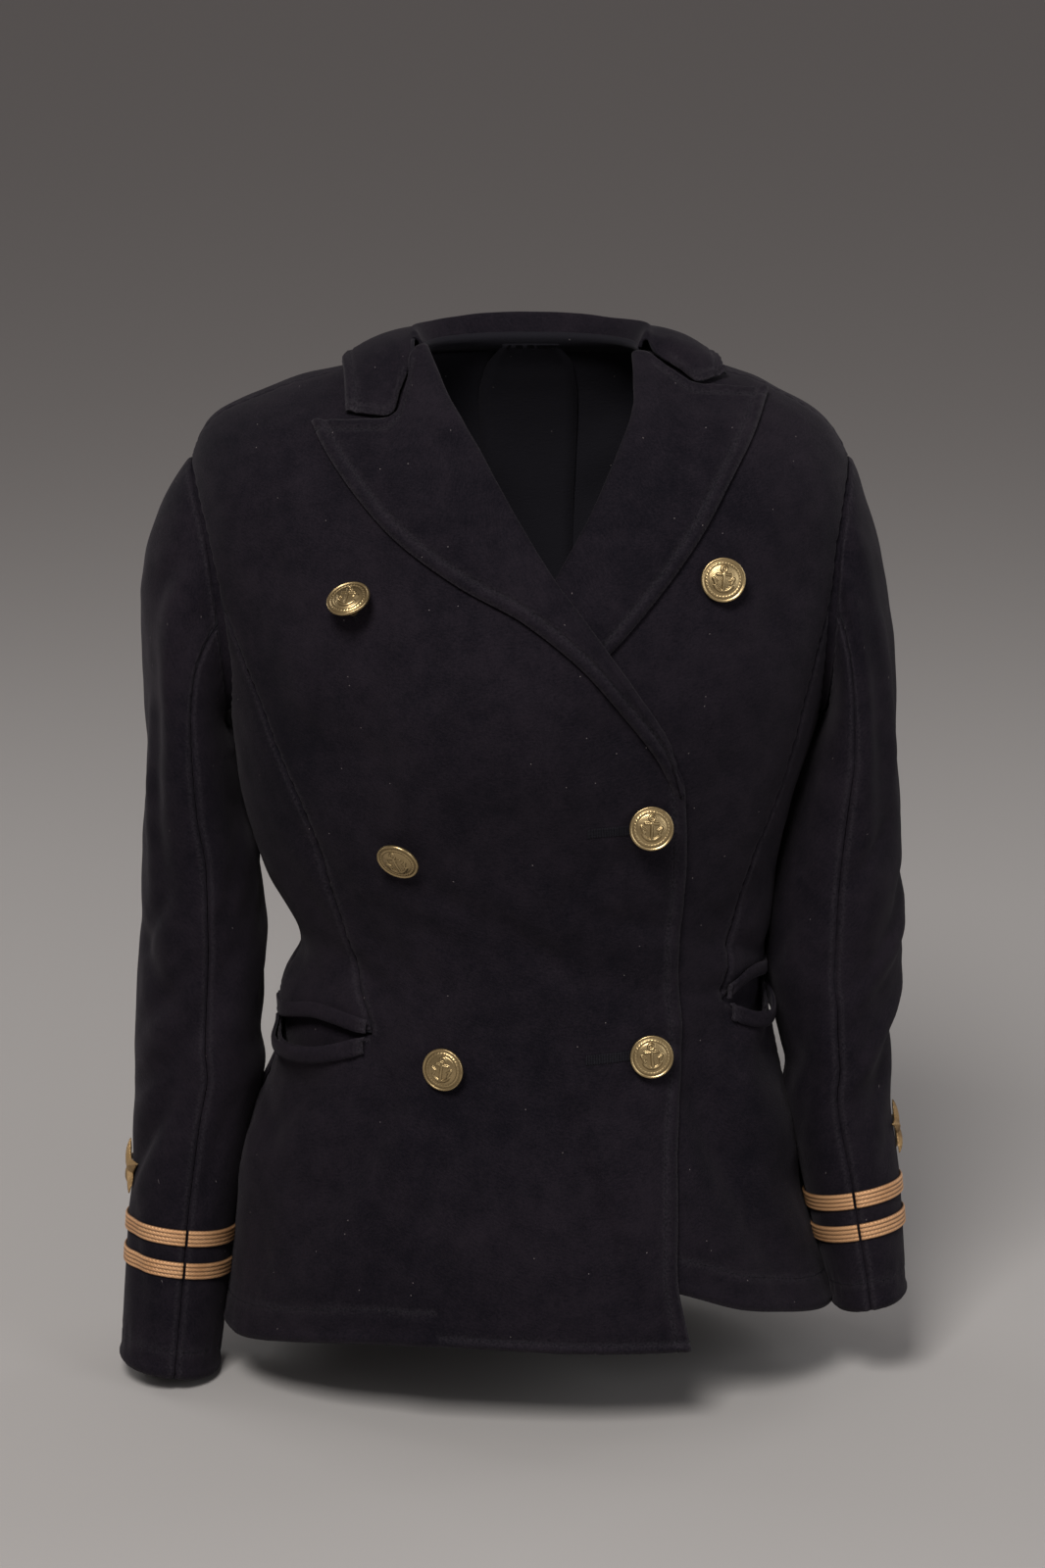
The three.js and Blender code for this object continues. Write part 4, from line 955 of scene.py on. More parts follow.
# Distance from the roll line, and how far out of the front
LAPEL_WRAP = [(-ROLL - 0.2, -1.8), (-ROLL - 0.6, 0.6), (-1.2, 3.2), (3, 4.4)]
LAPEL_SHARES = [0.2, 0.4, 0.6, 0.8, 1]
GORGE_SHARE = 0.4
LAPEL_STITCH = 7.6
LAPEL_THICK = 3.3
LAPEL_FOOT = 0.6
LAPEL_ROWS = 118
LAPEL_RIPPLE = 0.5
# Rows of the table over which the roll line bends in towards the notch
NOTCH_ROWS = 4.5
# Along the top of a lapel its free edge starts this far from the roll
TOP_START = 14


def smooth_lines(points, dense=8):
    """Soft curves through rows of points, with this many steps between two of them"""
    step = np.linalg.norm(np.diff(points, axis=1), axis=-1, keepdims=True)
    step = np.maximum(step, 1e-6)
    slope = np.diff(points, axis=1) / step
    tangent = np.empty_like(points)
    tangent[:, 0], tangent[:, -1] = slope[:, 0], slope[:, -1]
    before, after = step[:, :-1], step[:, 1:]
    tangent[:, 1:-1] = (slope[:, :-1] * after + slope[:, 1:] * before) / (before + after)
    u = np.linspace(0, 1, dense, endpoint=False)[None, None, :, None]
    p, q = points[:, :-1, None], points[:, 1:, None]
    m, n = (tangent[:, :-1] * step)[:, :, None], (tangent[:, 1:] * step)[:, :, None]
    smooth = ((1 + 2 * u) * (1 - u) ** 2 * p + u * (1 - u) ** 2 * m
              + u * u * (3 - 2 * u) * q + u * u * (u - 1) * n)
    rows = smooth.reshape(len(points), -1, 3)
    return np.concatenate([rows, points[:, -1:]], axis=1)


def even_lines(points, cell=CELL):
    """The same curves with graded points along each"""
    length = travelled(points, 1)
    spots = graded(length[:, -1], cell)
    even = np.array([[np.interp(s, w, p[:, k]) for k in range(3)]
                     for s, w, p in zip(spots, length, points)])
    return np.moveaxis(even, 1, 2), spots


def grid_faces(points, towards):
    """The way that each point of a grid faces, on the side of a given direction"""
    face = unit(np.cross(np.gradient(points, axis=0), np.gradient(points, axis=1)))
    return face if (face @ np.array(towards)).mean() > 0 else -face


def lapel(side):
    """A turned-back lapel with its peak"""
    sign = SIDES[side]
    gorge, rows = LAPELS[side]
    numbered = [(i, *row) for i, row in enumerate(rows)]
    table = table_curves(numbered, ("roll_x", "roll_z", "edge_x", "edge_z"))
    t = np.linspace(0, len(rows) - 1, LAPEL_ROWS)
    roll = np.stack([table["roll_x"](t), table["roll_z"](t)], -1)
    rim = np.stack([table["edge_x"](t), table["edge_z"](t)], -1)
    width = np.linalg.norm(rim - roll, axis=-1)
    across = (rim - roll) / width[:, None]
    bend = np.clip(1 - t / NOTCH_ROWS, 0, 1) ** 1.5
    straight = roll[0] + (rim[0] - roll[0]) * GORGE_SHARE
    pull = (np.array(gorge) - straight)[None] * bend[:, None]
    merge = smoothstep(t, len(rows) - 2.2, len(rows) - 1.0) * (side == "right")
    grid = []

    def lift(flat, out):
        out = out + (LAPEL_FOOT - out) * merge
        shifted = flat + np.array([-sign * 0.9, -1.1]) * (bend ** 2)[:, None]
        base = lap_out(shifted[:, 0], shifted[:, 1]) if side == "right" else 0
        grid.append(on_front(shifted[:, 0], shifted[:, 1], base + out)[0])

    for start, out in LAPEL_WRAP:
        start = np.minimum(start, width * 0.35)
        lift(roll + across * (start + (1.2 - start) * merge)[:, None], out)
    for share in LAPEL_SHARES:
        bent = share / GORGE_SHARE if share < GORGE_SHARE else (1 - share) / (1 - GORGE_SHARE)
        narrow = np.clip(width / 30, 0, 1)
        reach = np.maximum(share * width, np.minimum(3.4, width * 0.5) + share)
        flat = np.where(
            (share * width < 4.5)[:, None], roll + across * reach[:, None],
            roll + (rim - roll) * share + pull * bent)
        lift(flat, 3.6 + 2 * narrow * np.sin(np.pi * share) + 0.6 * (1 - share))
    points, spots = even_lines(smooth_lines(np.stack(grid, axis=1)))
    face = grid_faces(points, (0, -1, 0))
    down = travelled(points, 0)
    to_rim = spots[:, -1:] - spots
    across_way = travelled(points, 1)
    top = np.where(spots > TOP_START, down, FAR)
    edges = [("fold", to_rim, down, LAPEL_STITCH), ("fold", top, across_way, LAPEL_STITCH)]
    outer_points, mesh = tailor(
        f"lapel_{side}_cloth", points, face, edges, thick=LAPEL_THICK, ripple=LAPEL_RIPPLE)
    lines[f"lapel_{side}"] = dict(points=outer_points, to_rim=to_rim, down=down)
    return mesh


for side in SIDES:
    piece = place_cloth(f"lapel_{side}", lapel(side))
    print(piece.name, len(piece.data.polygons), "faces")

# %% [markdown]
# ## Collar
# The collar stands up from the neckline, folds over and falls onto the shoulders. It is one
# band round the neck, whose ends lie on the lapels' top edges, where the notch is.

# %% Collar
# Angle on the neckline, how far its fold stands out and up, and its outer edge
COLLAR = [
    (-90, 5, 9, -104, -20), (-106, 7, 10, -106, 6), (-123, 7, 9.5, -98, 32),
    (-142, 7, 10, -76, 55), (-161, 7, 11, -40, 69), (-180, 7, 11.5, 0, 73), (-199, 7, 11, 40, 69),
    (-218, 7, 10, 76, 55), (-237, 7, 10.5, 98, 32), (-254, 7, 11, 106, 8), (-270, 5, 9, 108, -10),
]
COLLAR_ENDS = {
    "right": ((-77, -32), (-101, -30)),
    "left": ((92, -17), (108, -15)),
}
FALL_LIFT = 5.4
COLLAR_STITCH = 6.0
COLLAR_LINES = 61
COLLAR_CELL = 2.4
COLLAR_RIPPLE = 0.3
# The share of its width at which the collar folds over
FOLD_SHARE = 0.42


def shoulder_top(x, y):
    """The height of the shoulders above a place"""
    low, high = np.full(np.shape(x), -209.0), np.full(np.shape(x), 4.0)
    for _ in range(36):
        z = (low + high) / 2
        half = np.where(x < 0, body["right"](z), body["left"](z))
        deep = np.where(y < 0, body["front"](z), body["back"](z))
        power = np.where(y < 0, FRONT_POWER, BACK_POWER)
        inside = (np.abs(x) / half) ** power + (np.abs(y) / deep) ** power < 1
        low, high = np.where(inside, z, low), np.where(inside, high, z)
    return (low + high) / 2


def collar_rows():
    """Lines across the collar from its foot to its outer edge, round the neck"""
    numbered = [(i, *row) for i, row in enumerate(COLLAR)]
    table = table_curves(numbered, ("angle", "out", "up", "x", "y"))
    t = np.linspace(0, len(COLLAR) - 1, COLLAR_LINES)
    foot = skin(np.radians(table["angle"](t)), 0.0) + np.array([0, 0, SEAM + 0.2])
    outward = unit(foot * np.array([1, 1, 0]))
    crown = foot + outward * table["out"](t)[:, None] + np.array([0, 0, 1]) * table["up"](t)[:, None]
    x, y = table["x"](t), table["y"](t)
    rim = np.stack([x, y, shoulder_top(x, y) + FALL_LIFT], -1)
    inside = crown - outward * 3.2 - np.array([0, 0, 3.4])
    past = crown + outward * 3.4 - np.array([0, 0, 2])
    rows = [foot, (foot + inside) / 2, inside, crown, past]
    for share in (0.25, 0.5, 0.75, 1):
        swell = math.sin(math.pi * share) * 3
        rows.append(past + (rim - past) * share + np.array([0, 0, swell]) + outward * swell * 0.6)
    return np.stack(rows, axis=1)


def collar_end(side):
    """The line across the collar where it ends on a lapel"""
    sign = SIDES[side]
    corner, tip = (np.array(place, float) for place in COLLAR_ENDS[side])
    foot = skin(math.radians(sign * 86), 0.0) + np.array([0, -1, SEAM + 0.6])
    steps = ((0.3, -0.3, 1.6), (0.9, -0.6, 3.2), (3.2, -1.2, 5))
    rows = [foot] + [foot + (sign * x, y, z) for x, y, z in steps]
    top = np.array([sign * 60.5, -1.0])
    flats = [top + (corner - top) * share for share in (0.3, 0.65, 1)]
    flats += [corner + (tip - corner) * share for share in (0.5, 1)]
    for x, z in flats:
        x, z = x + sign * 0.1, z + 0.5
        base = lap_out(x, z) if side == "right" else 0
        rows.append(on_front(x, z, base + 4.6)[0])
    return np.array(rows)


def collar():
    """The whole collar as one sheet"""
    lines_across = np.concatenate([[collar_end("right")], collar_rows(), [collar_end("left")]])
    round_neck = smooth_lines(np.moveaxis(lines_across, 0, 1), 6)
    places = travelled(round_neck[4:5], 1)[0]
    spots_round = graded(places[-1])[0]
    old_index = np.arange(len(places))
    index = np.interp(spots_round, places, old_index)
    rows = np.stack([np.stack([np.interp(index, old_index, line[:, k]) for k in range(3)], -1)
                     for line in round_neck], axis=1)
    points, spots = even_lines(smooth_lines(rows), COLLAR_CELL)
    face = grid_faces(points, (0, 0, 0))
    rim_face = face[:, -6] @ np.array([0, 0, 1])
    face = face if rim_face.mean() > 0 else -face
    to_rim = spots[:, -1:] - spots
    along = travelled(points, 0)
    across_way = travelled(points, 1)
    past_fold = spots > FOLD_SHARE * spots[:, -1:]
    start = np.where(past_fold, along, FAR)
    end = np.where(past_fold, along[-1:] - along, FAR)
    edges = [
        ("fold", to_rim, along, COLLAR_STITCH), ("fold", start, across_way, COLLAR_STITCH),
        ("fold", end, across_way, COLLAR_STITCH),
    ]
    outer_points, mesh = tailor("collar_cloth", points, face, edges, ripple=COLLAR_RIPPLE)
    lines["collar"] = dict(points=outer_points, to_rim=to_rim)
    return mesh


piece = place_cloth("collar", collar())
print(piece.name, len(piece.data.polygons), "faces")

# %% [markdown]
# ## Sleeves
# A two-piece sleeve has a top half and a narrower under half, with one seam down the front
# of the arm and one behind. Its cap bends over from the armhole, and below that the sleeve
# is a stack of ovals that follow the bent arm. The folds are given by the angle round the
# arm and the height.

# %% Sleeves
# Height, outer side, inner side, half-depth, middle, raised front, raised outer side
SLEEVES = {
    "right": dict(seams=(100, -78), hem=-598, swell=0.66, rings=[
        (-230, 221, 171.5, 62, 6, 0.02, 0), (-262, 223, 168, 59, 7, 0.02, 0),
        (-297, 224.5, 158.5, 56, 8, 0.02, 0), (-340, 227, 153, 53, 8, 0.03, 0),
        (-406, 230, 157, 49, 4, 0.06, 0.02), (-450, 232, 168.5, 44, -1, 0.1, 0.08),
        (-510, 235.5, 178.5, 39, -10, 0.14, 0.12), (-560, 238.5, 183, 37, -17, 0.13, 0.14),
        (-598, 241, 186, 36, -23, 0.1, 0.16),
    ]),
    "left": dict(seams=(94, -78), hem=-557, swell=0.36, rings=[
        (-230, 210, 162.5, 60, 4, 0.02, 0), (-258, 213, 155, 58, 5, 0.02, 0),
        (-300, 216, 146.5, 55, 5, 0.03, 0.02), (-340, 219, 142, 52, 4, 0.05, 0.04),
        (-370, 217, 141.5, 50, 2, 0.07, 0.06), (-400, 212, 147, 48, 0, 0.09, 0.08),
        (-440, 210, 156.5, 43, -4, 0.13, 0.14), (-490, 216, 168, 39, -11, 0.18, 0.2),
        (-530, 219, 175.5, 37, -18, 0.18, 0.2), (-557, 220, 181, 36, -23, 0.14, 0.2),
    ]),
}
# From angle, z to angle, z, then width and depth
SLEEVE_FOLDS = {
    "right": [
        (42, -130, 55, -300, 11, -4), (20, -150, 14, -260, 12, -3), (150, -310, 60, -425, 12, -4),
        (80, -420, 10, -485, 10, -4), (15, -330, 70, -375, 10, -3), (-60, -300, -20, -360, 11, -4),
        (-90, -370, -40, -420, 11, -3),
    ],
    "left": [
        (-10, -292, 70, -340, 11, -5), (-5, -335, 85, -392, 11, -6), (-20, -380, 75, -432, 10, -5),
        (100, -350, 160, -420, 11, -4), (60, -140, 52, -285, 11, -4), (24, -130, 18, -240, 12, -3),
        (-70, -310, -25, -360, 11, -4), (-80, -390, -30, -430, 10, -4),
    ],
}
SMALL_SLEEVE_FOLDS = {
    "right": [
        (70, -300, 20, -352, 7, -1.6), (95, -345, 30, -392, 7, -1.8), (88, -392, 10, -438, 7, -1.6),
        (64, -440, 6, -492, 7, -1.3), (150, -260, 110, -330, 8, -1.6), (200, -290, 160, -340, 8, -1.8),
        (210, -340, 165, -385, 8, -1.6), (60, -90, 40, -140, 8, -1.4), (88, -120, 80, -200, 8, -1.5),
        (-30, -180, -24, -280, 9, -1.6), (-50, -420, -10, -470, 8, -1.5), (30, -500, 60, -560, 9, -1.0),
        (130, -430, 110, -500, 8, -1.3), (34, -200, 46, -310, 6, 1.3), (4, -230, -4, -330, 8, -1.4),
    ],
    "left": [
        (40, -262, 92, -300, 6, -1.6), (10, -312, 84, -362, 6, -2.0), (6, -358, 88, -412, 6, -2.0),
        (10, -404, 70, -446, 6, -1.6), (120, -300, 160, -360, 8, -1.8), (110, -400, 150, -450, 7, -1.4),
        (70, -90, 52, -140, 8, -1.4), (88, -120, 82, -220, 7, -1.4), (40, -150, 36, -260, 7, 1.4),
        (-34, -170, -28, -270, 9, -1.6), (-40, -290, 0, -340, 8, -2.0), (-50, -350, -8, -392, 8, -2.0),
        (200, -290, 170, -340, 8, -1.6), (20, -446, 60, -474, 6, -1.0), (10, -250, 4, -300, 8, -1.6),
    ],
}
SLEEVE_POWER = 2.15
CAP_END = -230
# Half the sleeve's thickness, which turns the angles of the folds into lengths
SLEEVE_GIRTH = 42
# Height, and how far the sleeve rests in towards the body there
SLEEVE_EASE = {
    "right": [
        (-200, 3), (-240, 4.4), (-280, 5.5), (-300, 3), (-330, 0), (-400, 0), (-425, 6),
        (-460, 6), (-530, 5), (-560, 4), (-600, 2),
    ],
    "left": [
        (-200, 5), (-240, 6), (-356, 7), (-380, 1), (-412, 1), (-435, 7.5), (-500, 6.5),
        (-545, 3.5), (-600, 2),
    ],
}
SMALL_SLEEVE_FOLD_STRENGTH = 1.7
CUFF_STITCH = 17.0
CAP_LENGTH = 125.0
CAP_ROWS = 36
# The folds fade out over this share of the cap, towards the armhole
CAP_CALM = 0.05

sleeve_ease = {side: curve(rows) for side, rows in SLEEVE_EASE.items()}
sleeve_curves = {
    side: table_curves(facts["rings"], ("outer", "inner", "depth", "y", "front", "side"))
    for side, facts in SLEEVES.items()}


def sleeve_ring(side, angle, z):
    """Points of a sleeve's oval section"""
    facts = sleeve_curves[side]
    outer = facts["outer"](z)
    inner = facts["inner"](z) - sleeve_ease[side](z)
    c, s = np.cos(angle), np.sin(angle)
    across = np.sign(c) * np.abs(c) ** (2 / SLEEVE_POWER) * (outer - inner) / 2
    forward = np.sign(s) * np.abs(s) ** (2 / SLEEVE_POWER) * facts["depth"](z)
    raised = forward * facts["front"](z) + across * facts["side"](z)
    x = SIDES[side] * ((outer + inner) / 2 + across)
    return np.stack([x, facts["y"](z) - forward, z + raised], -1)


def armhole_point(side, angle):
    """Where the sleeve is set into the armhole"""
    z = ARMHOLE["middle"] + ARMHOLE["half"] * np.cos(angle)
    is_front = np.sin(angle) > 0
    y = np.where(is_front, ARMHOLE["front"], ARMHOLE["back"]) * np.sin(angle)
    place = skin(armhole_angle(z, side, is_front), z)
    return np.stack([place[..., 0] + SIDES[side] * (SEAM + 0.9), -y, z], -1)


def sleeve_skin(side, angle, cap, z):
    """Points of a smooth sleeve: the cap runs from 0 to 1, and below it the height counts"""
    angle, cap, z = np.broadcast_arrays(*(np.asarray(v, float) for v in (angle, cap, z)))
    start = armhole_point(side, angle)
    end = sleeve_ring(side, angle, np.full(angle.shape, float(CAP_END)))
    reach = np.linalg.norm(start - end, axis=-1, keepdims=True)
    leave = np.stack([
        np.full(angle.shape, SIDES[side] * SLEEVES[side]["swell"]), -0.35 * np.sin(angle),
        np.full(angle.shape, -0.84)], -1)
    u = np.clip(cap, 0, 1)[..., None]
    v = u - 1
    curved = (start * (1 + 2 * u) * v * v + leave * u * v * v * reach
              + end * u * u * (3 - 2 * u) + np.array([0, 0, -1]) * u * u * v * reach)
    return np.where((cap >= 1)[..., None], sleeve_ring(side, angle, z), curved)


def on_sleeve(side, angle, cap, z, out=0.0):
    """Points of a folded sleeve's outer face, and the way that it faces there"""
    angle, cap, z = np.broadcast_arrays(*(np.asarray(v, float) for v in (angle, cap, z)))
    turn = 0.02
    here = sleeve_skin(side, angle, cap, z)
    across = sleeve_skin(side, angle + turn, cap, z) - sleeve_skin(side, angle - turn, cap, z)
    lower = np.where(
        (cap < 1)[..., None], sleeve_skin(side, angle, np.minimum(cap + turn, 1), z),
        sleeve_skin(side, angle, 1, z - 1))
    face = unit(np.cross(across, lower - here)) * SIDES[side]
    scale = math.radians(SLEEVE_GIRTH)
    fold = np.zeros(angle.shape)
    for folds, strength in ((SLEEVE_FOLDS, 1.0), (SMALL_SLEEVE_FOLDS, SMALL_SLEEVE_FOLD_STRENGTH)):
        for a1, z1, a2, z2, width, depth in folds[side]:
            for lap in (-360, 0):
                turned = (np.degrees(angle) + lap) * scale
                line = (a1 * scale, z1, a2 * scale, z2, width, strength * depth)
                fold += valley(line, turned, here[..., 2])
    fold = fold * np.clip(cap / CAP_CALM, 0, 1)
    return here + face * (out + fold)[..., None], face


def sleeve_half(name, side, start, end):
    """One half of a sleeve from armhole to cuff"""
    cuff = SLEEVES[side]["hem"]
    cap_way = np.concatenate([GRADE, np.linspace(GRADE[-1], CAP_LENGTH, CAP_ROWS)[1:-1]])
    drop = CAP_END - cuff
    even = np.linspace(0, drop - GRADE[-1], int(drop / CELL))
    falls = np.concatenate([even, drop - GRADE[-2::-1]])
    caps = np.concatenate([cap_way / CAP_LENGTH, np.ones(len(falls))])
    z = np.concatenate([np.full(len(cap_way), float(CAP_END)), CAP_END - falls])
    angles = np.radians(np.linspace(start, end, SURVEY))[None]
    length = travelled(sleeve_skin(side, angles, caps[:, None], z[:, None]), 1)
    spots = graded(length[:, -1])
    angle = np.array([np.interp(s, w, angles[0]) for s, w in zip(spots, length)])
    points, face = on_sleeve(side, angle, caps[:, None], z[:, None])
    down = travelled(points, 0)
    up = down[-1:] - down
    across = travelled(points, 1)
    edges = both_seams(spots, down) + [("seam", down, across, 0), ("fold", up, across, CUFF_STITCH)]
    waving = 0.9 - 0.75 * smoothstep(-np.broadcast_to(z[:, None], spots.shape), 425, 450)
    outer_points, mesh = tailor(f"{name}_cloth", points, face, edges, ripple=waving)
    lines[name] = dict(points=outer_points, up=up)
    return mesh


SEAM_TURN = 0.5
for side in SIDES:
    front_seam, back_seam = SLEEVES[side]["seams"]
    for name, start, end in (
            (f"top_sleeve_{side}", back_seam + SEAM_TURN, front_seam - SEAM_TURN),
            (f"under_sleeve_{side}", front_seam + SEAM_TURN, back_seam + 360 - SEAM_TURN)):
        piece = place_cloth(name, sleeve_half(name, side, start, end))
        print(piece.name, len(piece.data.polygons), "faces")

# %% [markdown]
# ## Pockets
# A jetted pocket is a slit whose two lips are bound with a narrow strip, the welt. Here the
# lower lip gapes away from the body, so the pocketing shows inside.

# %% Pockets
# How far above the lip each line of the strip lies, and how far out of the cloth
WELTS = {
    "upper": [(8, 2.5), (7.2, 3.1), (4, 3.7), (0.6, 3.4), (-0.5, 2.7)],
    "lower": [(0.5, 2.8), (-0.6, 3.7), (-5, 4.1), (-9, 3.5), (-10, 2.7)],
}
# How far out of the cloth a welt's outer end lies
WELT_END = 1.3
WELT_LINES = 46
WELT_CELL = 1.6
WELT_STITCH = 3.0
WELT_RIPPLE = 0.15
# The welts stop just short of the side seam and run on past the mouth's inner end, in radians
WELT_SHORT = 0.004
WELT_PAST = 0.02
POCKET_INSET = {"right": 3.8, "left": 2.7}
BAG_LINES = 50
BAG_CELL = 2.4
BAG_THICK = 1.5
# The pocketing runs on a little behind the side seam, in radians
BAG_PAST_SEAM = 0.05


def pocket_line(side, lift, out, lower, angles):
    """One line along a pocket's lip, from the side seam to its inner end"""
    pocket = POCKETS[side]
    flat = skin(angles, float(pocket["row"]))
    if lower:
        fall = -pocket["drop"] * mouth(flat[..., 0], side, LOWER_END) - SEAM
    else:
        fall = pocket["rise"] * mouth(flat[..., 0], side, UPPER_END) + SEAM
    parted = mouth(flat[..., 0], side, GAPE_END)
    z = row_height(float(pocket["row"]), flat[..., 0], side, hem[f"front_{side}"]) + fall + lift
    near = math.exp(-((lift / LOWER_LIP_REACH) ** 2))
    if out > 0:
        out = out - (out - WELT_END) * smoothstep(np.linspace(1, 0, len(angles)), 0.62, 0.88)
    return on_body(angles, z, out + (pocket["gape"] * parted * near if lower else 0))[0]


def pocket_sheet(name, side, profile, angles, cell, **finish):
    """A sheet through lines along a pocket: each has a lift, how far out it is, and its lip"""
    grid = np.stack([pocket_line(side, *line, angles) for line in profile], axis=1)
    points, spots = even_lines(smooth_lines(grid), cell)
    face = grid_faces(points, (SIDES[side] * 0.5, -1, 0))
    stitch = finish.pop("stitch", None)
    along = travelled(points, 0)
    edges = [("fold", np.minimum(along, along[-1:] - along), spots, stitch)] if stitch else []
    return tailor(name, points, face, edges, **finish)[1]


def pocket_pieces(side):
    """Two welts and the pocketing"""
    sign = SIDES[side]
    pocket = POCKETS[side]
    start = sign * (np.pi / 2 - WELT_SHORT)
    end = float(front_angle(pocket["inner"], pocket["row"])) + sign * WELT_PAST
    angles = start + (end - start) * np.linspace(0, 1, WELT_LINES)
    pieces = {}
    for lip_name, rows in WELTS.items():
        profile = [(lift, out, lip_name == "lower") for lift, out in rows]
        pieces[f"pocket_welt_{lip_name}_{side}"] = pocket_sheet(
            "welt", side, profile, angles, WELT_CELL, stitch=WELT_STITCH, ripple=WELT_RIPPLE)
    inset = POCKET_INSET[side]
    profile = [
        (7, -inset, False), (-10, -inset, False), (-26, -inset - 0.6, False), (-20, -3.8, True),
        (-26, -2.7, True)]
    past = sign * BAG_PAST_SEAM
    angles = start + past + (end - start - past) * np.linspace(0, 1, BAG_LINES)
    pieces[f"pocket_inner_{side}"] = pocket_sheet(
        "pocketing", side, profile, angles, BAG_CELL, thick=BAG_THICK, ripple=0.0)
    return pieces


for side in SIDES:
    for node, mesh in pocket_pieces(side).items():
        piece = place_cloth(node, mesh)
        print(piece.name, len(piece.data.polygons), "faces")

# %% [markdown]
# ## Seam tape
# Inside a jacket every seam is pressed open and bound. The strips here lie behind the seams
# that would otherwise let light through, a little inside the cloth, and they show where one
# looks in at the neck or the hem.

# %% Seam tape
TAPE_IN = -2.35
TAPE_THICK = 0.7
TAPE_LINES = 7
# How many rows each kind of tape has, and half its width
BACK_TAPE = (180, 9.0)
SIDE_TAPE = (110, 8.0)
SHOULDER_TAPE = (50, 8.0)
FRONT_TAPE = (90, 7.0)
# Along the armhole: how far the tape runs into the body, how deep its lines lie, and how far
# down the cap it ends
ARMHOLE_TAPE = dict(reach=7.0, depths=(0.9, 2.4, 2.9), cap=0.07, cell=2.0)
# Round the neck: how far past the shoulders, the heights of its lines, and how far up it stands
NECK_TAPE = dict(past=0.12, heights=(-8, -4, -0.5), rise=4.0, count=90)
# Down a sleeve: where on the cap it starts, its rows on the cap and below, and half its angle
SLEEVE_TAPE = dict(start=0.03, cap_rows=40, rows=120, half=9)


def tape(name, points, face):
    """A thin strip behind a seam"""
    mesh = tailor(name, points, face, [], thick=TAPE_THICK, ripple=0.0)[1]
    return place_piece(name, mesh, knit, [])


def strip_on_body(name, angle, first, last, size, drop=0):
    """A strip behind a line down the body, between two rows, that bends with the hem"""
    count, half = size
    rows = np.linspace(first, last, count)
    heights = rows + drop * bend_share(rows) ** 2
    angles = np.broadcast_to(angle(rows), rows.shape)
    at = skin(angles, heights)
    across = np.linspace(-half, half, TAPE_LINES)[None] / np.hypot(at[:, 0], at[:, 1])[:, None]
    return tape(name, *on_body(angles[:, None] + across, heights[:, None], TAPE_IN))


def princess_line(side):
    """The angle of a front's seam at each row, where the armhole may cut it short"""
    def read(rows):
        seam = np.abs(front_angle(princess[side](rows), rows))
        line = np.minimum(seam, np.abs(armhole_angle(rows, side, True)))
        return SIDES[side] * (line + gap_angle(rows))
    return read


def faces_away(points, middle, ways):
    """The way that each point of a grid faces, on the side away from a middle line"""
    face = grid_faces(points, (0, 0, 0))
    outward = (points - middle) * np.array(ways)
    return face * np.sign((face * outward).sum(-1, keepdims=True).mean())


def armhole_tape(side):
    """The bound seam round an armhole, from inside the body into the sleeve"""
    turn = np.linspace(0, 2 * np.pi, SURVEY)
    rim = armhole_point(side, turn)
    into_body = rim - np.array([SIDES[side], 0, 0]) * (SEAM + ARMHOLE_TAPE["reach"])
    middle = np.array([0, 0, ARMHOLE["middle"]])
    inward = unit((middle - rim) * np.array([0, 1, 1]))
    below = sleeve_skin(side, turn, ARMHOLE_TAPE["cap"], CAP_END)
    places = zip((into_body, rim, below), ARMHOLE_TAPE["depths"])
    grid = np.stack([line + inward * depth for line, depth in places], axis=1)
    points = even_lines(smooth_lines(grid), ARMHOLE_TAPE["cell"])[0]
    return tape(f"seam_tape_armhole_{side}", points, faces_away(points, middle, (0, 1, 1)))


def neck_tape():
    """The bound seam between the collar's foot and the back of the neck"""
    count, past = NECK_TAPE["count"], NECK_TAPE["past"]
    angles = np.linspace(np.pi / 2 - past, 3 * np.pi / 2 + past, count)
    low = [on_body(angles, np.full(count, float(z)), TAPE_IN)[0] for z in NECK_TAPE["heights"]]
    high = low[-1] + np.array([0, 0, NECK_TAPE["rise"]])
    points = np.stack(low + [high], axis=1)
    return tape("seam_tape_neck", points, faces_away(points, 0, (1, 1, 0)))


def sleeve_tape(name, side, angle):
    """The seam down a sleeve, seen from inside the cuff"""
    cap_way = np.linspace(SLEEVE_TAPE["start"], 1, SLEEVE_TAPE["cap_rows"])
    falls = np.linspace(0, CAP_END - SLEEVES[side]["hem"], SLEEVE_TAPE["rows"])[1:]
    caps = np.concatenate([cap_way, np.ones(len(falls))])
    z = np.concatenate([np.full(len(cap_way), float(CAP_END)), CAP_END - falls])
    across = np.radians(angle + np.linspace(-SLEEVE_TAPE["half"], SLEEVE_TAPE["half"], TAPE_LINES))
    return tape(name, *on_sleeve(side, across[None], caps[:, None], z[:, None], TAPE_IN))


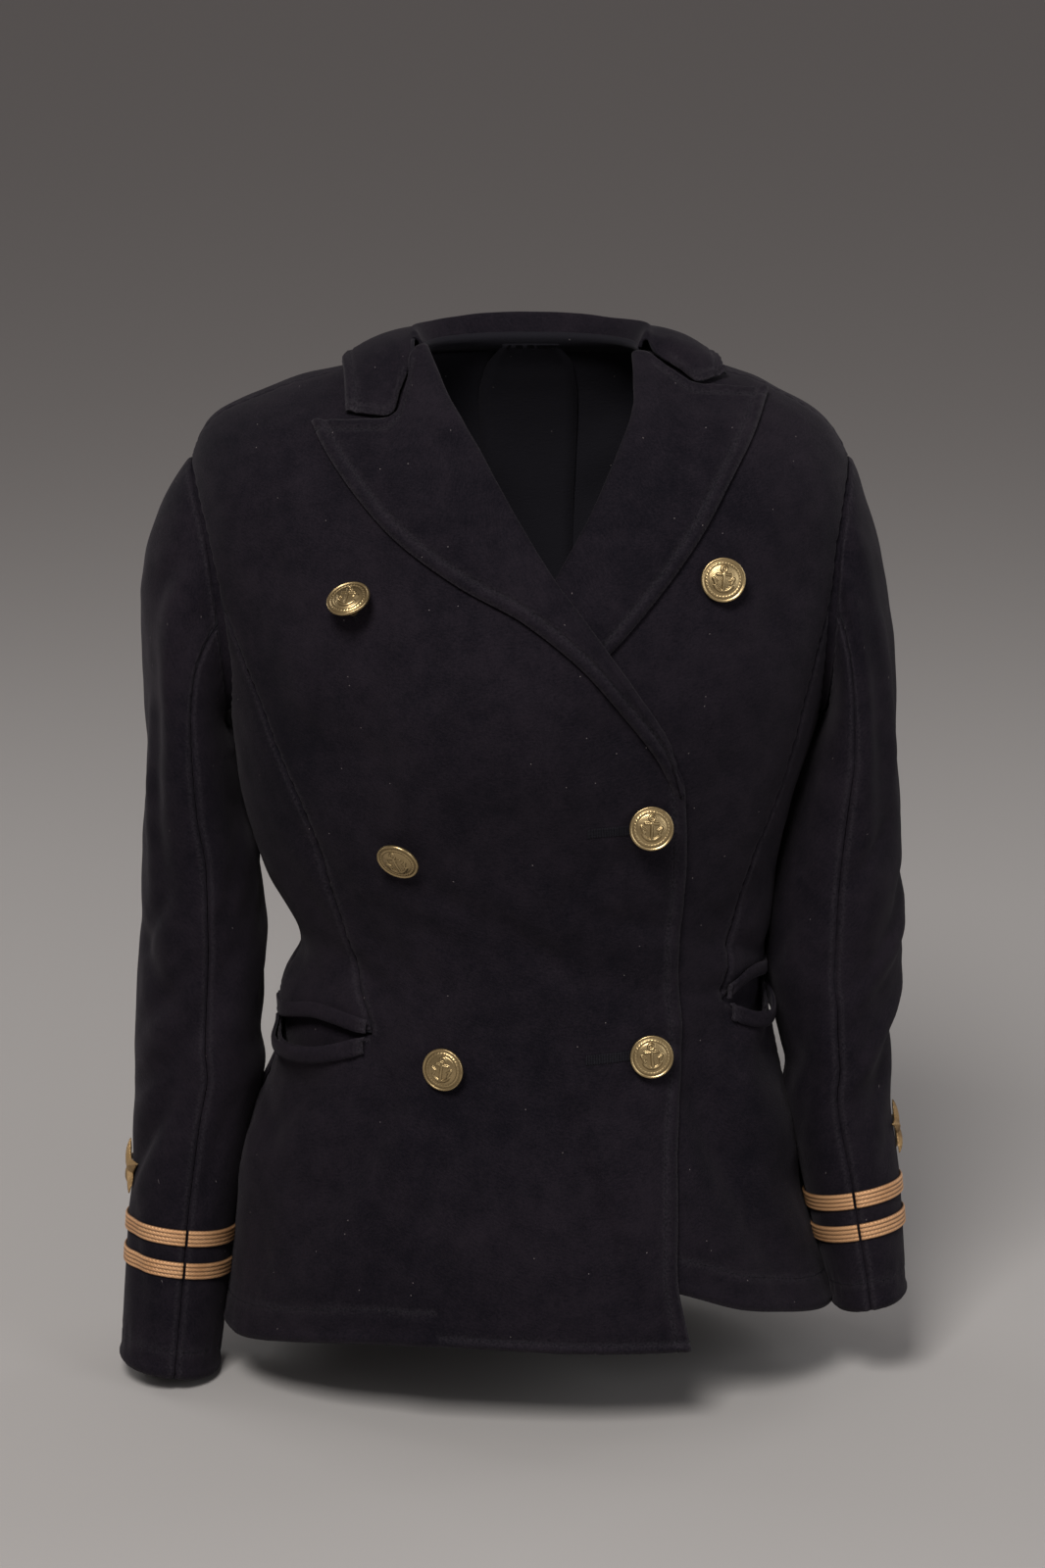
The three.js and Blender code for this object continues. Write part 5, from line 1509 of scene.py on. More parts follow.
drop = hem["back"](0.0)
strip_on_body("seam_tape_back", lambda rows: np.pi, -3, LAST_ROW, BACK_TAPE, drop)
for side, sign in SIDES.items():
    drop = hem["back"]((body[side](float(LAST_ROW)) - 4) * sign)
    at_side = sign * np.pi / 2
    strip_on_body(
        f"seam_tape_side_{side}", lambda rows: at_side, BREAK - 2, LAST_ROW, SIDE_TAPE, drop)
    strip_on_body(
        f"seam_tape_shoulder_{side}", lambda rows: at_side, -2.4, ARMHOLE_TOP + 1.5, SHOULDER_TAPE)
    strip_on_body(
        f"seam_tape_front_{side}", princess_line(side), PRINCESS_START[side] - 3,
        POCKETS[side]["row"] + 3, FRONT_TAPE)
neck_tape()
for side in SIDES:
    armhole_tape(side)
    for number, angle in enumerate(SLEEVES[side]["seams"]):
        sleeve_tape(f"seam_tape_sleeve_{side}_{number + 1}", side, angle)

# %% [markdown]
# ## Braid
# Naval braid is woven gold thread: a flat band with a few raised ribs, whose threads run
# across it on a slant. Two rows are sewn round each cuff, cut at the sleeve's front seam.
# The material draws the twisted threads and paints shade into the grooves between the
# ribs, and the mesh carries the ribs and the rounded edges.

# %% Metals
BRASS_BRIGHT = (0.47, 0.35, 0.18, 1)
BRASS_DULL = (0.085, 0.058, 0.027, 1)


def metal_thread_material(name, bright, dark, roughness, pitch, slant):
    """Metal thread: fine strands that slant across the piece's flat coordinates, with painted shade in
    its grooves
    """
    material, tree, shader = start_material(name)
    flat = add_node(tree, "ShaderNodeUVMap", uv_map="Cloth").outputs["UV"]
    place = add_node(tree, "ShaderNodeTexCoord").outputs["Object"]
    turned = add_node(tree, "ShaderNodeMapping", Rotation=(0, 0, math.radians(slant)))
    tree.links.new(flat, turned.inputs["Vector"])
    strands = add_node(tree, "ShaderNodeTexWave", Scale=pitch, Distortion=1.2, Detail=2.0)
    strands.inputs["Detail Scale"].default_value = 3.0
    tree.links.new(turned.outputs["Vector"], strands.inputs["Vector"])
    grain = noise(tree, place, 500, 4, 0.6)
    tarnish = noise(tree, place, 60, 3, 0.6)
    lines_seen = strands.outputs["Fac"]
    tone = combine(tree, "MULTIPLY", lines_seen, ramp(tree, tarnish, 0.25, 0.6))
    colour = blend(tree, tone, dark, bright)
    # The relief attribute paints shade: it darkens the grooves between ribs, strands and coils towards a
    # fifth of the dark colour.
    relief = add_node(tree, "ShaderNodeAttribute", attribute_name="relief").outputs["Fac"]
    colour = blend(tree, relief, colour, tuple(0.22 * v for v in dark[:3]) + (1,))
    tree.links.new(colour, shader.inputs["Base Color"])
    set_finish(shader, Metallic=0.35)
    rough = combine(tree, "ADD", combine(tree, "MULTIPLY", grain, 0.25), roughness)
    tree.links.new(rough, shader.inputs["Roughness"])
    bump = add_node(tree, "ShaderNodeBump", Strength=0.75, Distance=0.00025)
    height = combine(tree, "ADD", lines_seen, combine(tree, "MULTIPLY", grain, 0.4))
    tree.links.new(height, bump.inputs["Height"])
    tree.links.new(bump.outputs["Normal"], shader.inputs["Normal"])
    return material


def brass_material():
    """Antique brass: bright where it is rubbed, brown in the hollows"""
    material, tree, shader = start_material("antique brass")
    place = add_node(tree, "ShaderNodeTexCoord").outputs["Object"]
    relief = add_node(tree, "ShaderNodeAttribute", attribute_name="relief").outputs["Fac"]
    patina = noise(tree, place, 240, 5, 0.65)
    grain = noise(tree, place, 1400, 3, 0.6)
    stain = combine(tree, "MULTIPLY", ramp(tree, patina, 0.42, 0.78), 0.55)
    dull = combine(tree, "MAXIMUM", stain, relief)
    colour = blend(tree, dull, BRASS_BRIGHT, BRASS_DULL)
    tree.links.new(colour, shader.inputs["Base Color"])
    set_finish(shader, Metallic=0.94)
    rough = combine(tree, "ADD", combine(tree, "MULTIPLY", dull, 0.30), 0.27)
    tree.links.new(rough, shader.inputs["Roughness"])
    bump = add_node(tree, "ShaderNodeBump", Strength=0.35, Distance=0.00012)
    tree.links.new(combine(tree, "ADD", grain, patina), bump.inputs["Height"])
    tree.links.new(bump.outputs["Normal"], shader.inputs["Normal"])
    return material


# Name, bright and dark colour, roughness, strands, and their slant
BRAID_FINISH = ("gold braid", (0.92, 0.54, 0.28, 1), (0.60, 0.31, 0.14, 1), 0.42, 330, 24)
BULLION_FINISH = ("bullion", (0.70, 0.46, 0.20, 1), (0.26, 0.15, 0.055, 1), 0.30, 420, 60)
brass = brass_material()
gold_braid = metal_thread_material(*BRAID_FINISH)
bullion = metal_thread_material(*BULLION_FINISH)
print("metals:", brass.name, gold_braid.name, bullion.name)

# %% Braid
BRAID_WIDTH = 9.5
BRAID_THICK = 1.1
BRAID_ROWS = {"right": (-511, -530), "left": (-489, -507.5)}
BRAID_GAP = 1.4
BRAID_RIBS = 4
BRAID_OUT = 0.5
BRAID_POINTS = 210
BRAID_LINES = 17
STRAND = 1.15


def braid_band(name, side, top, start, end):
    """One length of braid: ribs along it, slanted strands across, and rounded edges"""
    across = np.linspace(0, 1, BRAID_LINES)
    angles = np.radians(np.linspace(start, end, BRAID_POINTS))
    z = top - BRAID_WIDTH * across
    points, face = on_sleeve(side, angles[:, None], 1.0, z[None], BRAID_THICK + BRAID_OUT)
    along = travelled(points, 0)
    rib = np.abs(np.sin(np.pi * BRAID_RIBS * across))[None] ** 0.5
    lean = np.where((np.floor(across * BRAID_RIBS) % 2) == 0, 1, -1)[None]
    strand = np.sin(2 * np.pi * (along + lean * across[None] * BRAID_WIDTH * 0.55) / STRAND)
    relief = 0.34 * rib - 0.3 + 0.07 * strand * rib
    border = np.minimum(across, 1 - across)[None] * BRAID_WIDTH
    ends = np.minimum(along, along[-1:] - along)
    relief = relief - 0.55 * np.exp(-((border / 0.5) ** 2)) - 0.35 * np.exp(-((ends / 0.7) ** 2))
    outer = points + face * relief[..., None]
    inner = points - face * (BRAID_THICK + 0.1)
    keep = np.ones((BRAID_POINTS - 1, BRAID_LINES - 1), bool)
    mesh = shell(name, outer, inner, keep, 0 * relief)
    # Painted shade: the colour darkens between the ribs and between the slanted strands, over the grooves
    # that the mesh already has.
    hollow = np.clip(1.2 * (1 - rib ** 2) ** 1.6 + 0.25 * (strand < -0.5), 0, 1).ravel()
    layer = mesh.attributes.new("relief", "FLOAT", "POINT")
    layer.data.foreach_set("value", np.concatenate([hollow, hollow]))
    return mesh


for side in SIDES:
    front_seam, back_seam = SLEEVES[side]["seams"]
    for number, top in enumerate(BRAID_ROWS[side]):
        for half, start, end in (
                ("top", back_seam + BRAID_GAP, front_seam - BRAID_GAP),
                ("under", front_seam + BRAID_GAP, back_seam + 360 - BRAID_GAP)):
            node = f"braid_{half}_{side}_{number + 1}"
            mesh = braid_band(f"{node}_gold", side, top, start, end)
            place_piece(f"{node}_gold", mesh, gold_braid, [node])

# %% [markdown]
# ## Bullion star
# On the outer side of each sleeve, above the braid, sits a small star worked in bullion:
# coils of wire laid side by side over a padded shape. It is a plain five-pointed one.

# %% Bullion star
STAR = dict(points=5, outer=17.0, inner=7.6, thick=2.4, z={"right": -486, "left": -463}, out=1.3)
# The sleeve's own round, over which the star is bent
SLEEVE_ROUND = 46.0
STAR_RINGS = 22
STAR_AROUND = 180
COIL = 1.25


def star_mesh(name, side):
    """A padded star on the sleeve with ridged rays"""
    rings, around = STAR_RINGS, STAR_AROUND
    turn = np.linspace(0, 2 * np.pi, around, endpoint=False)
    phase = (turn / (2 * np.pi) * STAR["points"]) % 1
    fold = np.abs(phase - 0.5) * 2
    tip = math.pi / STAR["points"]
    a, b = STAR["outer"], STAR["inner"]
    from_tip = (1 - fold) * tip
    reach = a * b * math.sin(tip) / (b * np.sin(tip - from_tip) + a * np.sin(from_tip))
    share = np.linspace(0, 1, rings) ** 0.85
    flat_x = share[:, None] * (reach * np.sin(turn))[None]
    flat_z = share[:, None] * (reach * np.cos(turn))[None]
    ridge = np.clip(1 - from_tip / tip, 0, 1)[None] * np.sin(np.pi * np.clip(share, 0, 1))[:, None]
    height = STAR["thick"] * (1 - share[:, None] ** 3) * 0.72 + 0.9 * ridge
    coil = np.sin(2 * np.pi * share[:, None] * reach[None] / COIL)
    height = height + 0.16 * coil * (share[:, None] > 0.12) + STAR["thick"] * 0.28
    angle = np.arcsin(np.clip(-SIDES[side] * flat_x / SLEEVE_ROUND, -1, 1))
    z = STAR["z"][side] + flat_z
    outer = on_sleeve(side, angle, 1.0, z, STAR["out"] + height)[0]
    inner = on_sleeve(side, angle, 1.0, z, STAR["out"])[0]
    outer, inner = (np.concatenate([grid, grid[:, :1]], axis=1) for grid in (outer, inner))
    count = rings * (around + 1)
    number = np.arange(count).reshape(rings, around + 1)
    number[:, -1] = number[:, 0]
    number[0] = number[0, 0]
    quads = grid_quads(number).reshape(-1, 4)
    rim = np.stack([number[-1, :-1], number[-1, :-1] + count, number[-1, 1:] + count, number[-1, 1:]], -1)
    faces = open_corners(np.concatenate([quads, quads[:, ::-1] + count, rim]))
    points = np.concatenate([outer.reshape(-1, 3), inner.reshape(-1, 3)])
    uv = np.stack(np.broadcast_arrays(turn[None] * 12, (share * 17)[:, None]), -1)
    uv = np.concatenate([uv, uv[:, :1]], axis=1).reshape(-1, 2)
    # Painted shade: the colour darkens in the troughs between the coils.
    hollow = np.clip(0.5 - 0.5 * coil, 0, 1) * 0.5
    hollow = np.concatenate([hollow, hollow[:, :1]], axis=1).ravel()
    return make_mesh(name, points, faces, np.tile(uv, (2, 1)), {"relief": np.tile(hollow, 2)})


for side in SIDES:
    node = f"sleeve_star_{side}"
    place_piece(f"{node}_bullion", star_mesh(f"{node}_bullion", side), bullion, [node])
print("stars span", 2 * STAR["outer"], "mm")

# %% [markdown]
# ## Buttons
# The buttons are stamped: a domed front with a raised rim, a rope ring inside it and a small
# anchor in relief, on a shank behind. The relief is worked out as a height for every point
# of a fine round grid, and the hollows are darker, where polish doesn't reach. The anchor is
# a plain one: ring, stock, shaft and two curved arms.

# %% Buttons
# Place on the front, the panel, and where it faces: degrees to the wearer's left and upwards
BUTTONS = [
    (-95, -130, "front_right", -27, 55), (104, -112, "front_left", 4, 14),
    (-70, -262, "front_right", -23, -30), (64.5, -246, "front_right", 4, 10),
    (-46.5, -390, "front_right", -22, 4), (66.5, -385, "front_right", 3, 10),
]
BUTTON = dict(radius=12.2, rim=2.0, shank=2.6, dome=3.6, clear=0.9)
BUTTON_SPIN = (8, -4, 12, -3, -6, 5)
ANCHOR_SCALE = 1.32
BUTTON_AROUND = 120
# The dome fills this share of the radius, and the relief starts at this row of the profile
CROWN_SHARE = 0.86
CROWN_ROWS = 46
TOP_ROW = 10


def capsule(x, y, start, end, radius):
    """Relief of a round bar between two places, 0 outside it and 1 along its ridge"""
    a, b = np.array(start, float), np.array(end, float)
    way = b - a
    along = np.clip(((x - a[0]) * way[0] + (y - a[1]) * way[1]) / (way @ way), 0, 1)
    gap = np.hypot(x - a[0] - along * way[0], y - a[1] - along * way[1])
    return np.sqrt(np.clip(1 - (gap / radius) ** 2, 0, 1))


def anchor(x, y):
    """Relief of an anchor about 11 mm tall"""
    ring = np.sqrt(np.clip(1 - ((np.hypot(x, y - 4.5) - 1.15) / 0.5) ** 2, 0, 1))
    shaft = capsule(x, y, (0, 3.4), (0, -4.7), 0.72)
    stock = capsule(x, y, (-2.7, 2.2), (2.7, 2.2), 0.62)
    away, turn = np.hypot(x, y + 0.6), np.degrees(np.arctan2(x, -(y + 0.6)))
    arms = np.sqrt(np.clip(1 - ((away - 4.1) / 0.68) ** 2, 0, 1)) * (np.abs(turn) < 68)
    shape = np.maximum.reduce([ring, shaft, stock, arms])
    for s in (-1, 1):
        shape = np.maximum(shape, capsule(x, y, (s * 3.2, -1.9), (s * 4.3, 0.6), 0.62))
        shape = np.maximum(shape, capsule(x, y, (s * 4.3, 0.6), (s * 2.7, -0.4), 0.45))
    return shape


def button_profile(stem):
    """Radius and height over the button's underside, from the shank round to the crown"""
    radius, rim = BUTTON["radius"], BUTTON["rim"]
    under = [
        (BUTTON["shank"], 0.0), (radius * 0.5, 0), (radius * 0.84, 0), (radius * 0.95, 0.3),
        (radius, 0.9)]
    outer_rim = [
        (radius, rim - 0.3), (radius * 0.985, rim + 0.25), (radius * 0.955, rim + 0.5),
        (radius * 0.92, rim + 0.42), (radius * 0.89, rim + 0.05)]
    rise = BUTTON["dome"] - rim
    share = np.linspace(CROWN_SHARE, 0.0, CROWN_ROWS)
    crown = [(radius * s, rim + 0.1 + rise * (1 - (s / CROWN_SHARE) ** 2)) for s in share]
    return np.array(stem + under + outer_rim + crown)


def button_mesh(name, row, spin):
    """One button with its relief, placed and turned as it hangs"""
    x0, z0, panel, turn, tilt = row
    out = lap_out(x0, z0) if panel == "front_right" else 0.0
    base, _ = on_front(np.array([x0]), np.array([z0]), out)
    further, _ = on_front(np.array([x0]), np.array([z0]), out + 1)
    ahead = unit(further - base)[0]
    turn, tilt = math.radians(turn), math.radians(tilt)
    level = math.cos(tilt)
    facing = np.array([math.sin(turn) * level, -math.cos(turn) * level, math.sin(tilt)])
    lean = math.acos(float(np.clip(ahead @ facing, -1, 1)))
    under = (BUTTON["radius"] * math.sin(lean) + BUTTON["clear"]) / math.cos(lean)
    foot = (BUTTON["shank"] * math.sin(lean) + 0.3) / math.cos(lean)
    low, shank = foot - under, BUTTON["shank"]
    profile = button_profile([(0, low), (shank * 0.8, low), (shank, low + 0.3)])
    angle = np.linspace(0, 2 * np.pi, BUTTON_AROUND, endpoint=False)
    r, h = profile[:, 0:1], profile[:, 1:2] + under
    x, y = r * np.cos(angle), r * np.sin(angle)
    top = (np.arange(len(profile)) >= TOP_ROW)[:, None]
    share = r / BUTTON["radius"]
    twist = np.cos(angle * 34 + 26 * share)
    rope = np.exp(-(((share - 0.775) / 0.045) ** 2))
    field = anchor(x / ANCHOR_SCALE, y / ANCHOR_SCALE) * (share < 0.68)
    height = h + top * (rope * (0.30 + 0.17 * twist) + 0.85 * field)
    height = height - top * 0.22 * np.exp(-(((share - 0.69) / 0.02) ** 2))
    pebble = top * (share < 0.66) * (field < 0.05) * 0.05 * np.sin(x * 5.2) * np.sin(y * 5.2)
    height = height + pebble
    rim_of_field = np.clip(3.2 * field * (1 - field), 0, 1)
    hollow = (0.18 + 0.82 * rim_of_field) * (1 - field ** 4) * (share < 0.70)
    hollow = hollow + 0.75 * (1 - rope) * ((share >= 0.70) & (share < 0.88))
    dull = np.where(top, hollow, 0.35)
    dull = np.clip(dull - 0.45 * rope * (twist > 0.2), 0, 1)
    dull = np.where(share > 0.88, 0.12, dull)
    upward = unit(np.array([0, 0, 1.0]) - facing * facing[2])
    right = np.cross(upward, facing)
    spin = math.radians(spin)
    side_way = right * math.cos(spin) + upward * math.sin(spin)
    up_way = upward * math.cos(spin) - right * math.sin(spin)
    points = base[0] + x[..., None] * side_way + y[..., None] * up_way + height[..., None] * facing
    rows = len(profile)
    number = np.arange(rows * BUTTON_AROUND).reshape(rows, BUTTON_AROUND)
    number = np.concatenate([number, number[:, :1]], axis=1)
    number[0] = number[0, 0]
    number[-1] = number[-1, 0]
    faces = open_corners(grid_quads(number.T).swapaxes(0, 1).reshape(-1, 4))
    uv = np.stack([x.ravel(), y.ravel()], -1)
    return make_mesh(name, points.reshape(-1, 3), faces, uv, {"relief": dull.ravel()})


for number, (row, spin) in enumerate(zip(BUTTONS, BUTTON_SPIN)):
    node = f"button_{number + 1}"
    place_piece(f"{node}_brass", button_mesh(f"{node}_brass", row, spin), brass, [node])
print("buttons are", 2 * BUTTON["radius"], "mm across")

# %% [markdown]
# ## Topstitching
# A row of stitches holds every folded edge. Each stitch is a short thread that dips into the
# cloth at both ends. The rows are curves laid in the grooves, and a node group sets one
# stitch after another along each.

# %% Topstitching
STITCH_PITCH = 3.1
THREAD = 0.34
# Least and most length, width and height of a stitch, in thicknesses of the thread
LEAST_STITCH = (2.9, 0.8, 0.85)
MOST_STITCH = (3.5, 1.05, 1.1)
STITCH_SEED = 7
# The front edge's stitches start this far below the lapel, and the hem's are looked for below
BELOW_LAPEL = 4
HEM_SEARCH = -500
THREAD_DARK = (0.0025, 0.0024, 0.0042, 1)
THREAD_PALE = (0.0110, 0.0100, 0.0150, 1)


def thread_finish():
    """Sewing thread in the colour of the cloth"""
    material, tree, shader = start_material("sewing thread")
    place = add_node(tree, "ShaderNodeTexCoord").outputs["Object"]
    colour = blend(tree, noise(tree, place, 700, 3, 0.6), THREAD_DARK, THREAD_PALE)
    tree.links.new(colour, shader.inputs["Base Color"])
    set_finish(shader, Roughness=0.7, Specular_IOR_Level=0.2)
    return material


thread_material = thread_finish()


def stitch_tree():
    """Node group that sets a stitch at every pitch along the edges of a mesh of lines"""
    tree = bpy.data.node_groups.new("stitches", "GeometryNodeTree")
    for name, kind in (
            ("Lines", "Geometry"), ("Pitch", "Float"), ("Thread", "Float"), ("Material", "Material")):
        tree.interface.new_socket(name, in_out="INPUT", socket_type=f"NodeSocket{kind}")
    tree.interface.new_socket("Stitches", in_out="OUTPUT", socket_type="NodeSocketGeometry")
    start, end = tree.nodes.new("NodeGroupInput"), tree.nodes.new("NodeGroupOutput")
    curves, even, ball, tangent, place, real, paint = (
        tree.nodes.new(f"GeometryNode{kind}") for kind in (
            "MeshToCurve", "ResampleCurve", "MeshIcoSphere", "InputTangent", "InstanceOnPoints",
            "RealizeInstances", "SetMaterial"))
    align = tree.nodes.new("FunctionNodeAlignEulerToVector")
    uneven = tree.nodes.new("FunctionNodeRandomValue")
    even.mode = "LENGTH"
    ball.inputs["Subdivisions"].default_value = 2
    align.axis = "X"
    uneven.data_type = "FLOAT_VECTOR"
    uneven.inputs["Min"].default_value = LEAST_STITCH
    uneven.inputs["Max"].default_value = MOST_STITCH
    uneven.inputs["Seed"].default_value = STITCH_SEED
    for source, output, target, socket in (
            (start, "Lines", curves, "Mesh"), (curves, "Curve", even, "Curve"),
            (start, "Pitch", even, "Length"), (start, "Thread", ball, "Radius"),
            (tangent, "Tangent", align, "Vector"), (even, "Curve", place, "Points"),
            (ball, "Mesh", place, "Instance"), (align, "Rotation", place, "Rotation"),
            (uneven, "Value", place, "Scale"), (place, "Instances", real, "Geometry"),
            (real, "Geometry", paint, "Geometry"), (start, "Material", paint, "Material"),
            (paint, "Geometry", end, "Stitches")):
        tree.links.new(source.outputs[output], target.inputs[socket])
    return tree


stitches = stitch_tree()
sockets = {item.name: item.identifier for item in stitches.interface.items_tree}


def sew(name, rows, pitch=STITCH_PITCH, thread=THREAD):
    """Stitches along lines of points, as one plain mesh"""
    lengths = [len(row) for row in rows]
    starts = np.cumsum([0] + lengths[:-1])
    edges = [(s + k, s + k + 1) for s, n in zip(starts, lengths) for k in range(n - 1)]
    guide_mesh = bpy.data.meshes.new(f"{name}_line")
    guide_mesh.from_pydata((np.concatenate(rows) * MM).tolist(), edges, [])
    guide = bpy.data.objects.new(f"{name}_line", guide_mesh)
    bpy.context.collection.objects.link(guide)
    modifier = guide.modifiers.new("stitches", "NODES")
    modifier.node_group = stitches
    modifier[sockets["Pitch"]] = pitch * MM
    modifier[sockets["Thread"]] = thread * MM
    modifier[sockets["Material"]] = thread_material
    guide.update_tag()
    bpy.context.view_layer.update()
    graph = bpy.context.evaluated_depsgraph_get()
    mesh = bpy.data.meshes.new_from_object(guide.evaluated_get(graph))
    mesh.name = name
    guide.modifiers.clear()
    bpy.data.objects.remove(guide)
    bpy.data.meshes.remove(guide_mesh)
    mesh.polygons.foreach_set("use_smooth", np.ones(len(mesh.polygons), bool))
    return place_piece(name, mesh, thread_material, [])


def inset_line(points, distance, wanted, low=0):
    """The line on a sheet at a distance from an edge, one point for each row"""
    found = []
    for i in range(low, len(points)):
        order = np.argsort(distance[i])
        if distance[i].min() <= wanted <= distance[i].max():
            found.append([np.interp(wanted, distance[i][order], points[i][order, k]) for k in range(3)])
    return np.array(found)


def hem_line(facts, distance, wanted):
    """The same along an edge that runs across the rows"""
    return inset_line(np.swapaxes(facts["points"], 0, 1), distance.T, wanted)


stitch_rows = {}
for side in SIDES:
    facts = lines[f"front_{side}"]
    shown = int(np.argmax(facts["heights"] < EDGE_BARE[side] - BELOW_LAPEL))
    edge_row = inset_line(facts["points"], facts["to_edge"], EDGE_STITCH, low=shown)
    to_stitch = facts["up"] - facts["hem_depth"]
    to_stitch[:int(np.argmax(facts["heights"] < HEM_SEARCH))] = FAR
    stitch_rows[f"front_{side}"] = [edge_row, hem_line(facts, to_stitch, 0)]
    facts = lines[f"back_{side}"]
    stitch_rows[f"back_{side}"] = [hem_line(facts, facts["up"], HEM_STITCH)]
    facts = lines[f"lapel_{side}"]
    rim_row = inset_line(facts["points"], facts["to_rim"], LAPEL_STITCH, low=6)
    top_row = hem_line(facts, facts["down"], LAPEL_STITCH)
    stitch_rows[f"lapel_{side}"] = [rim_row[2:], top_row[len(top_row) // 3:]]
    for half in ("top", "under"):
        facts = lines[f"{half}_sleeve_{side}"]
        stitch_rows[f"{half}_sleeve_{side}"] = [hem_line(facts, facts["up"], CUFF_STITCH)]
fall = lines["collar"]
stitch_rows["collar"] = [inset_line(fall["points"], fall["to_rim"], COLLAR_STITCH)[4:-4]]
for name, rows in stitch_rows.items():
    rows = [row for row in rows if len(row) > 3]
    piece = sew(f"{name}_stitches", rows)
    print(piece.name, len(piece.data.polygons), "faces")


# %% [markdown]
# ## Buttonholes
# Only two of the buttons close the jacket, and each of these has a worked buttonhole: a slit
# whose lips are whipped with thread. The thread is the colour of the cloth, so a buttonhole
# shows as a small dark ridge beside its button.

# %% Buttonholes
# Place of the slit's outer end, and its length
BUTTONHOLES = {"upper": (53.0, -246.5, 22.0), "lower": (55.0, -384.0, 24.0)}
HOLE_SLOPE = 0.07
WHIP_PITCH = 0.85
# How far from the slit the threads of a lip start and end, and how far the two end bars reach
WHIP = np.array([0.45, 1.75])
BAR = np.linspace(-1.6, 1.6, 4)


def on_cloth(x, z, out):
    """Points on the waving face of a front panel, a little out of it"""
    points, face = on_front(x, z, out)
    return points + face * rippled(points, RIPPLE)[..., None]


for hole_name, (x0, z0, length) in BUTTONHOLES.items():
    places = np.arange(0, length, WHIP_PITCH)
    rows = []
    for whip, out, spots in ((-WHIP, 0.3, places), (WHIP, 0.3, places), (BAR, 0.4, (0, length))):
        for spot in spots:
            x = np.full(len(whip), x0 - spot)
            z = z0 - HOLE_SLOPE * spot + whip
            rows.append(on_cloth(x, z, lap_out(x, z) + out))
    piece = sew(f"buttonhole_{hole_name}", rows, pitch=1.3, thread=0.4)
    print(piece.name, len(piece.data.polygons), "faces")

# %% [markdown]
# ## Thread under the buttons
# Each button hangs from a few turns of thread through its shank, which is why they lean
# their own ways. From below or from the side the thread shows between button and cloth.

# %% Thread under the buttons
THREAD_ROUND = 1.9
THREAD_SHARES = np.array([0.55, 1.0])
THREAD_OUT = np.array([0.9, 0.1])
for number, (x0, z0, panel, turn, tilt) in enumerate(BUTTONS):
    out = lap_out(x0, z0) if panel == "front_right" else 0.0
    rows = []
    for way in np.radians(np.arange(0, 360, 45)):
        x = x0 + THREAD_ROUND * math.cos(way) * THREAD_SHARES
        z = z0 + THREAD_ROUND * math.sin(way) * THREAD_SHARES
        rows.append(on_cloth(x, z, out + THREAD_OUT))
    piece = sew(f"button_{number + 1}_thread", rows, pitch=0.9)
print("threads under", len(BUTTONS), "buttons")

# %% [markdown]
# ## What each sheet of cloth was cut to
# A tailor cuts every panel flat and then sews and presses it into shape. The sizes here are
# the width and length of the cut that shows, in metres, and its area, because no panel is a
# rectangle. They were measured on the finished surface, since this knit is hardly stretched:
# the longest lines along and across a sheet, and for the side fronts the middle line and the
# widest place. A tape's width is its area over its length. The panels hang from the neck and
# shoulders, lapels, collar and pocketing are folded, and welts and tapes lie on the panel
# that they are sewn to.

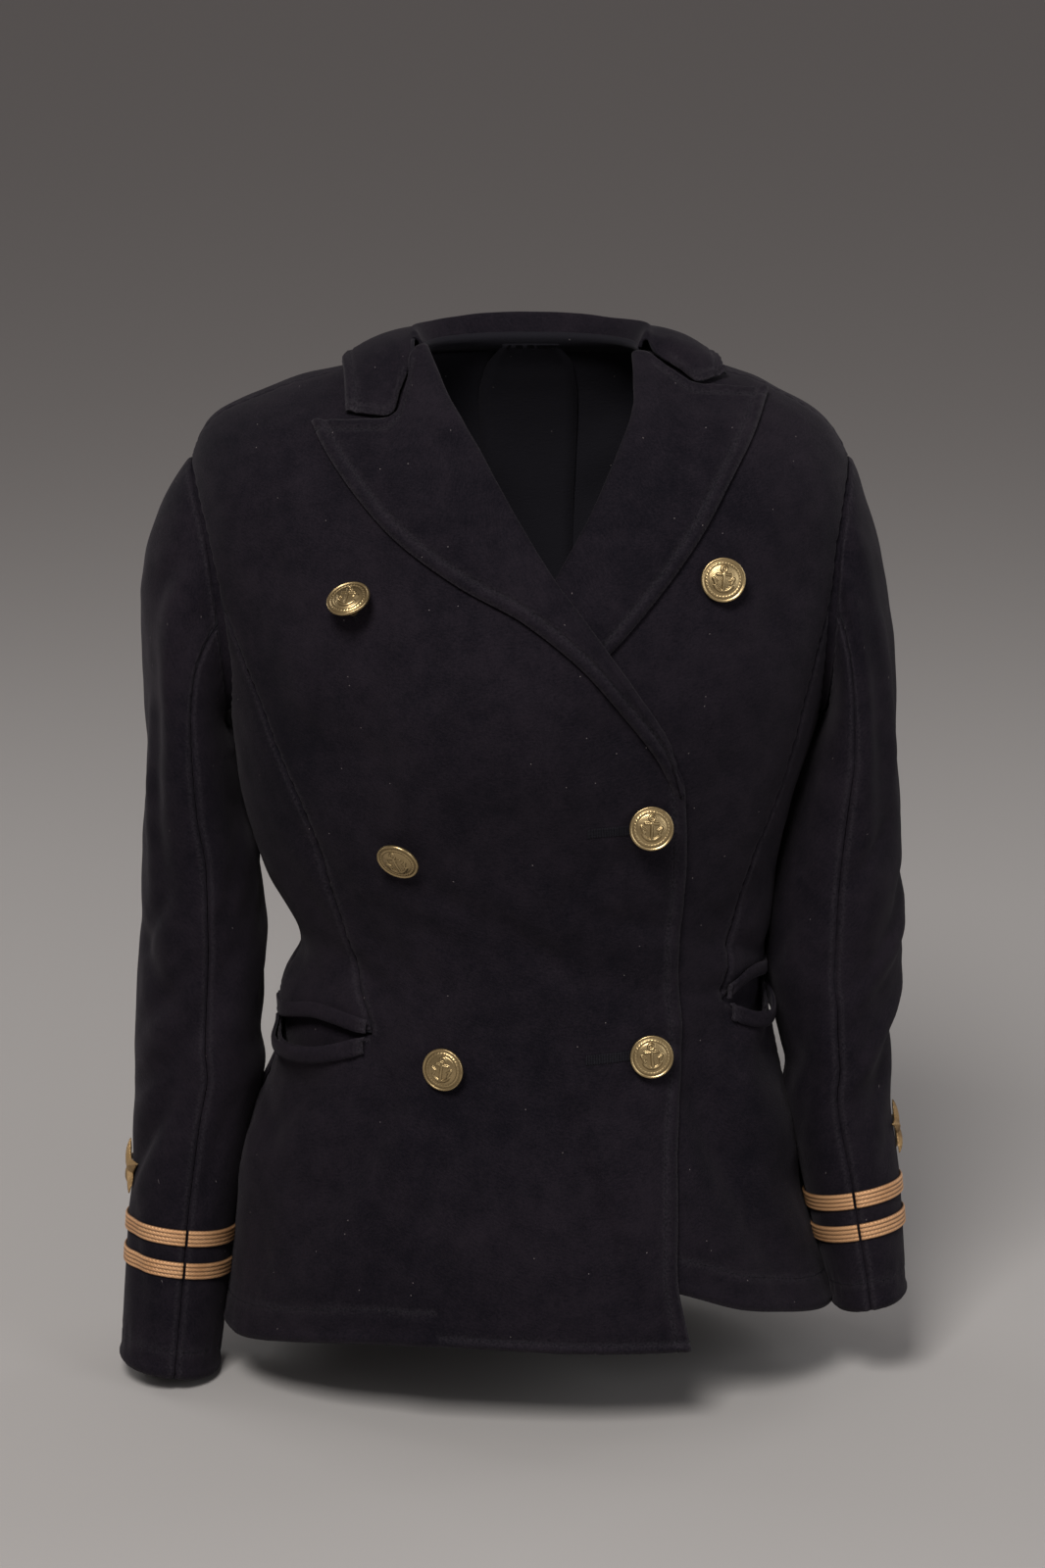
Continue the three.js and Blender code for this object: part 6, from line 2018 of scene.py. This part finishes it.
# %% Sheets
# Name, how it is held, what it lies on, then width, length and area: right and left, or one
BOTH_BACKS = ["back_right_cloth", "back_left_cloth"]
SHEETS = [
    ("front_{}_cloth", "hung", [], (0.3502, 0.689, 0.13886), (0.3164, 0.649, 0.11901)),
    ("side_front_{}_cloth", "hung", [], (0.0977, 0.273, 0.01795), (0.0666, 0.266, 0.01157)),
    ("back_{}_cloth", "hung", [], (0.2466, 0.726, 0.12376), (0.2488, 0.7, 0.11859)),
    ("top_sleeve_{}_cloth", "hung", [], (0.1953, 0.543, 0.06825), (0.1846, 0.503, 0.05903)),
    ("under_sleeve_{}_cloth", "hung", [], (0.1956, 0.5, 0.05584), (0.2034, 0.457, 0.05086)),
    ("lapel_{}_cloth", "folded", ["front_{}_cloth"],
     (0.1173, 0.324, 0.01367), (0.096, 0.289, 0.01499)),
    ("collar_cloth", "folded", BOTH_BACKS, (0.1021, 0.374, 0.01641)),
    ("pocket_welt_upper_{}_cloth", "laid", ["side_front_{}_cloth"],
     (0.01, 0.108, 0.00108), (0.01, 0.073, 0.0007)),
    ("pocket_welt_lower_{}_cloth", "laid", ["front_{}_cloth"],
     (0.0114, 0.121, 0.00138), (0.0119, 0.082, 0.00089)),
    ("pocket_inner_{}_cloth", "folded", [], (0.0514, 0.119, 0.00527), (0.0548, 0.081, 0.00361)),
    ("seam_tape_back", "laid", BOTH_BACKS, (0.0479, 0.598, 0.02864)),
    ("seam_tape_front_{}", "laid", ["front_{}_cloth"],
     (0.0112, 0.267, 0.00299), (0.0108, 0.256, 0.00276)),
    ("seam_tape_side_{}", "laid", ["back_{}_cloth"],
     (0.0164, 0.38, 0.00623), (0.0171, 0.37, 0.00631)),
    ("seam_tape_shoulder_{}", "laid", ["back_{}_cloth"],
     (0.0112, 0.137, 0.00153), (0.0116, 0.125, 0.00145)),
    ("seam_tape_neck", "laid", BOTH_BACKS, (0.026, 0.18, 0.00468)),
    ("seam_tape_armhole_{}", "laid", ["front_{}_cloth"],
     (0.0141, 0.394, 0.00556), (0.0126, 0.391, 0.00493)),
    ("seam_tape_sleeve_{}_1", "laid", ["top_sleeve_{}_cloth"],
     (0.0106, 0.457, 0.00484), (0.0102, 0.421, 0.00429)),
    ("seam_tape_sleeve_{}_2", "laid", ["top_sleeve_{}_cloth"],
     (0.0107, 0.493, 0.00528), (0.01, 0.453, 0.00449)),
]
declared = []
for name_form, held, under_forms, *sizes in SHEETS:
    for side, (width, length, area) in zip(SIDES, sizes):
        name = name_form.format(side)
        declared.append(name)
print("sheets declared:", len(declared))

# %% [markdown]
# ## Size of the solids
# The box round the solids is printed at the end.

# %% Size
print("box of the solids:", cad_box)
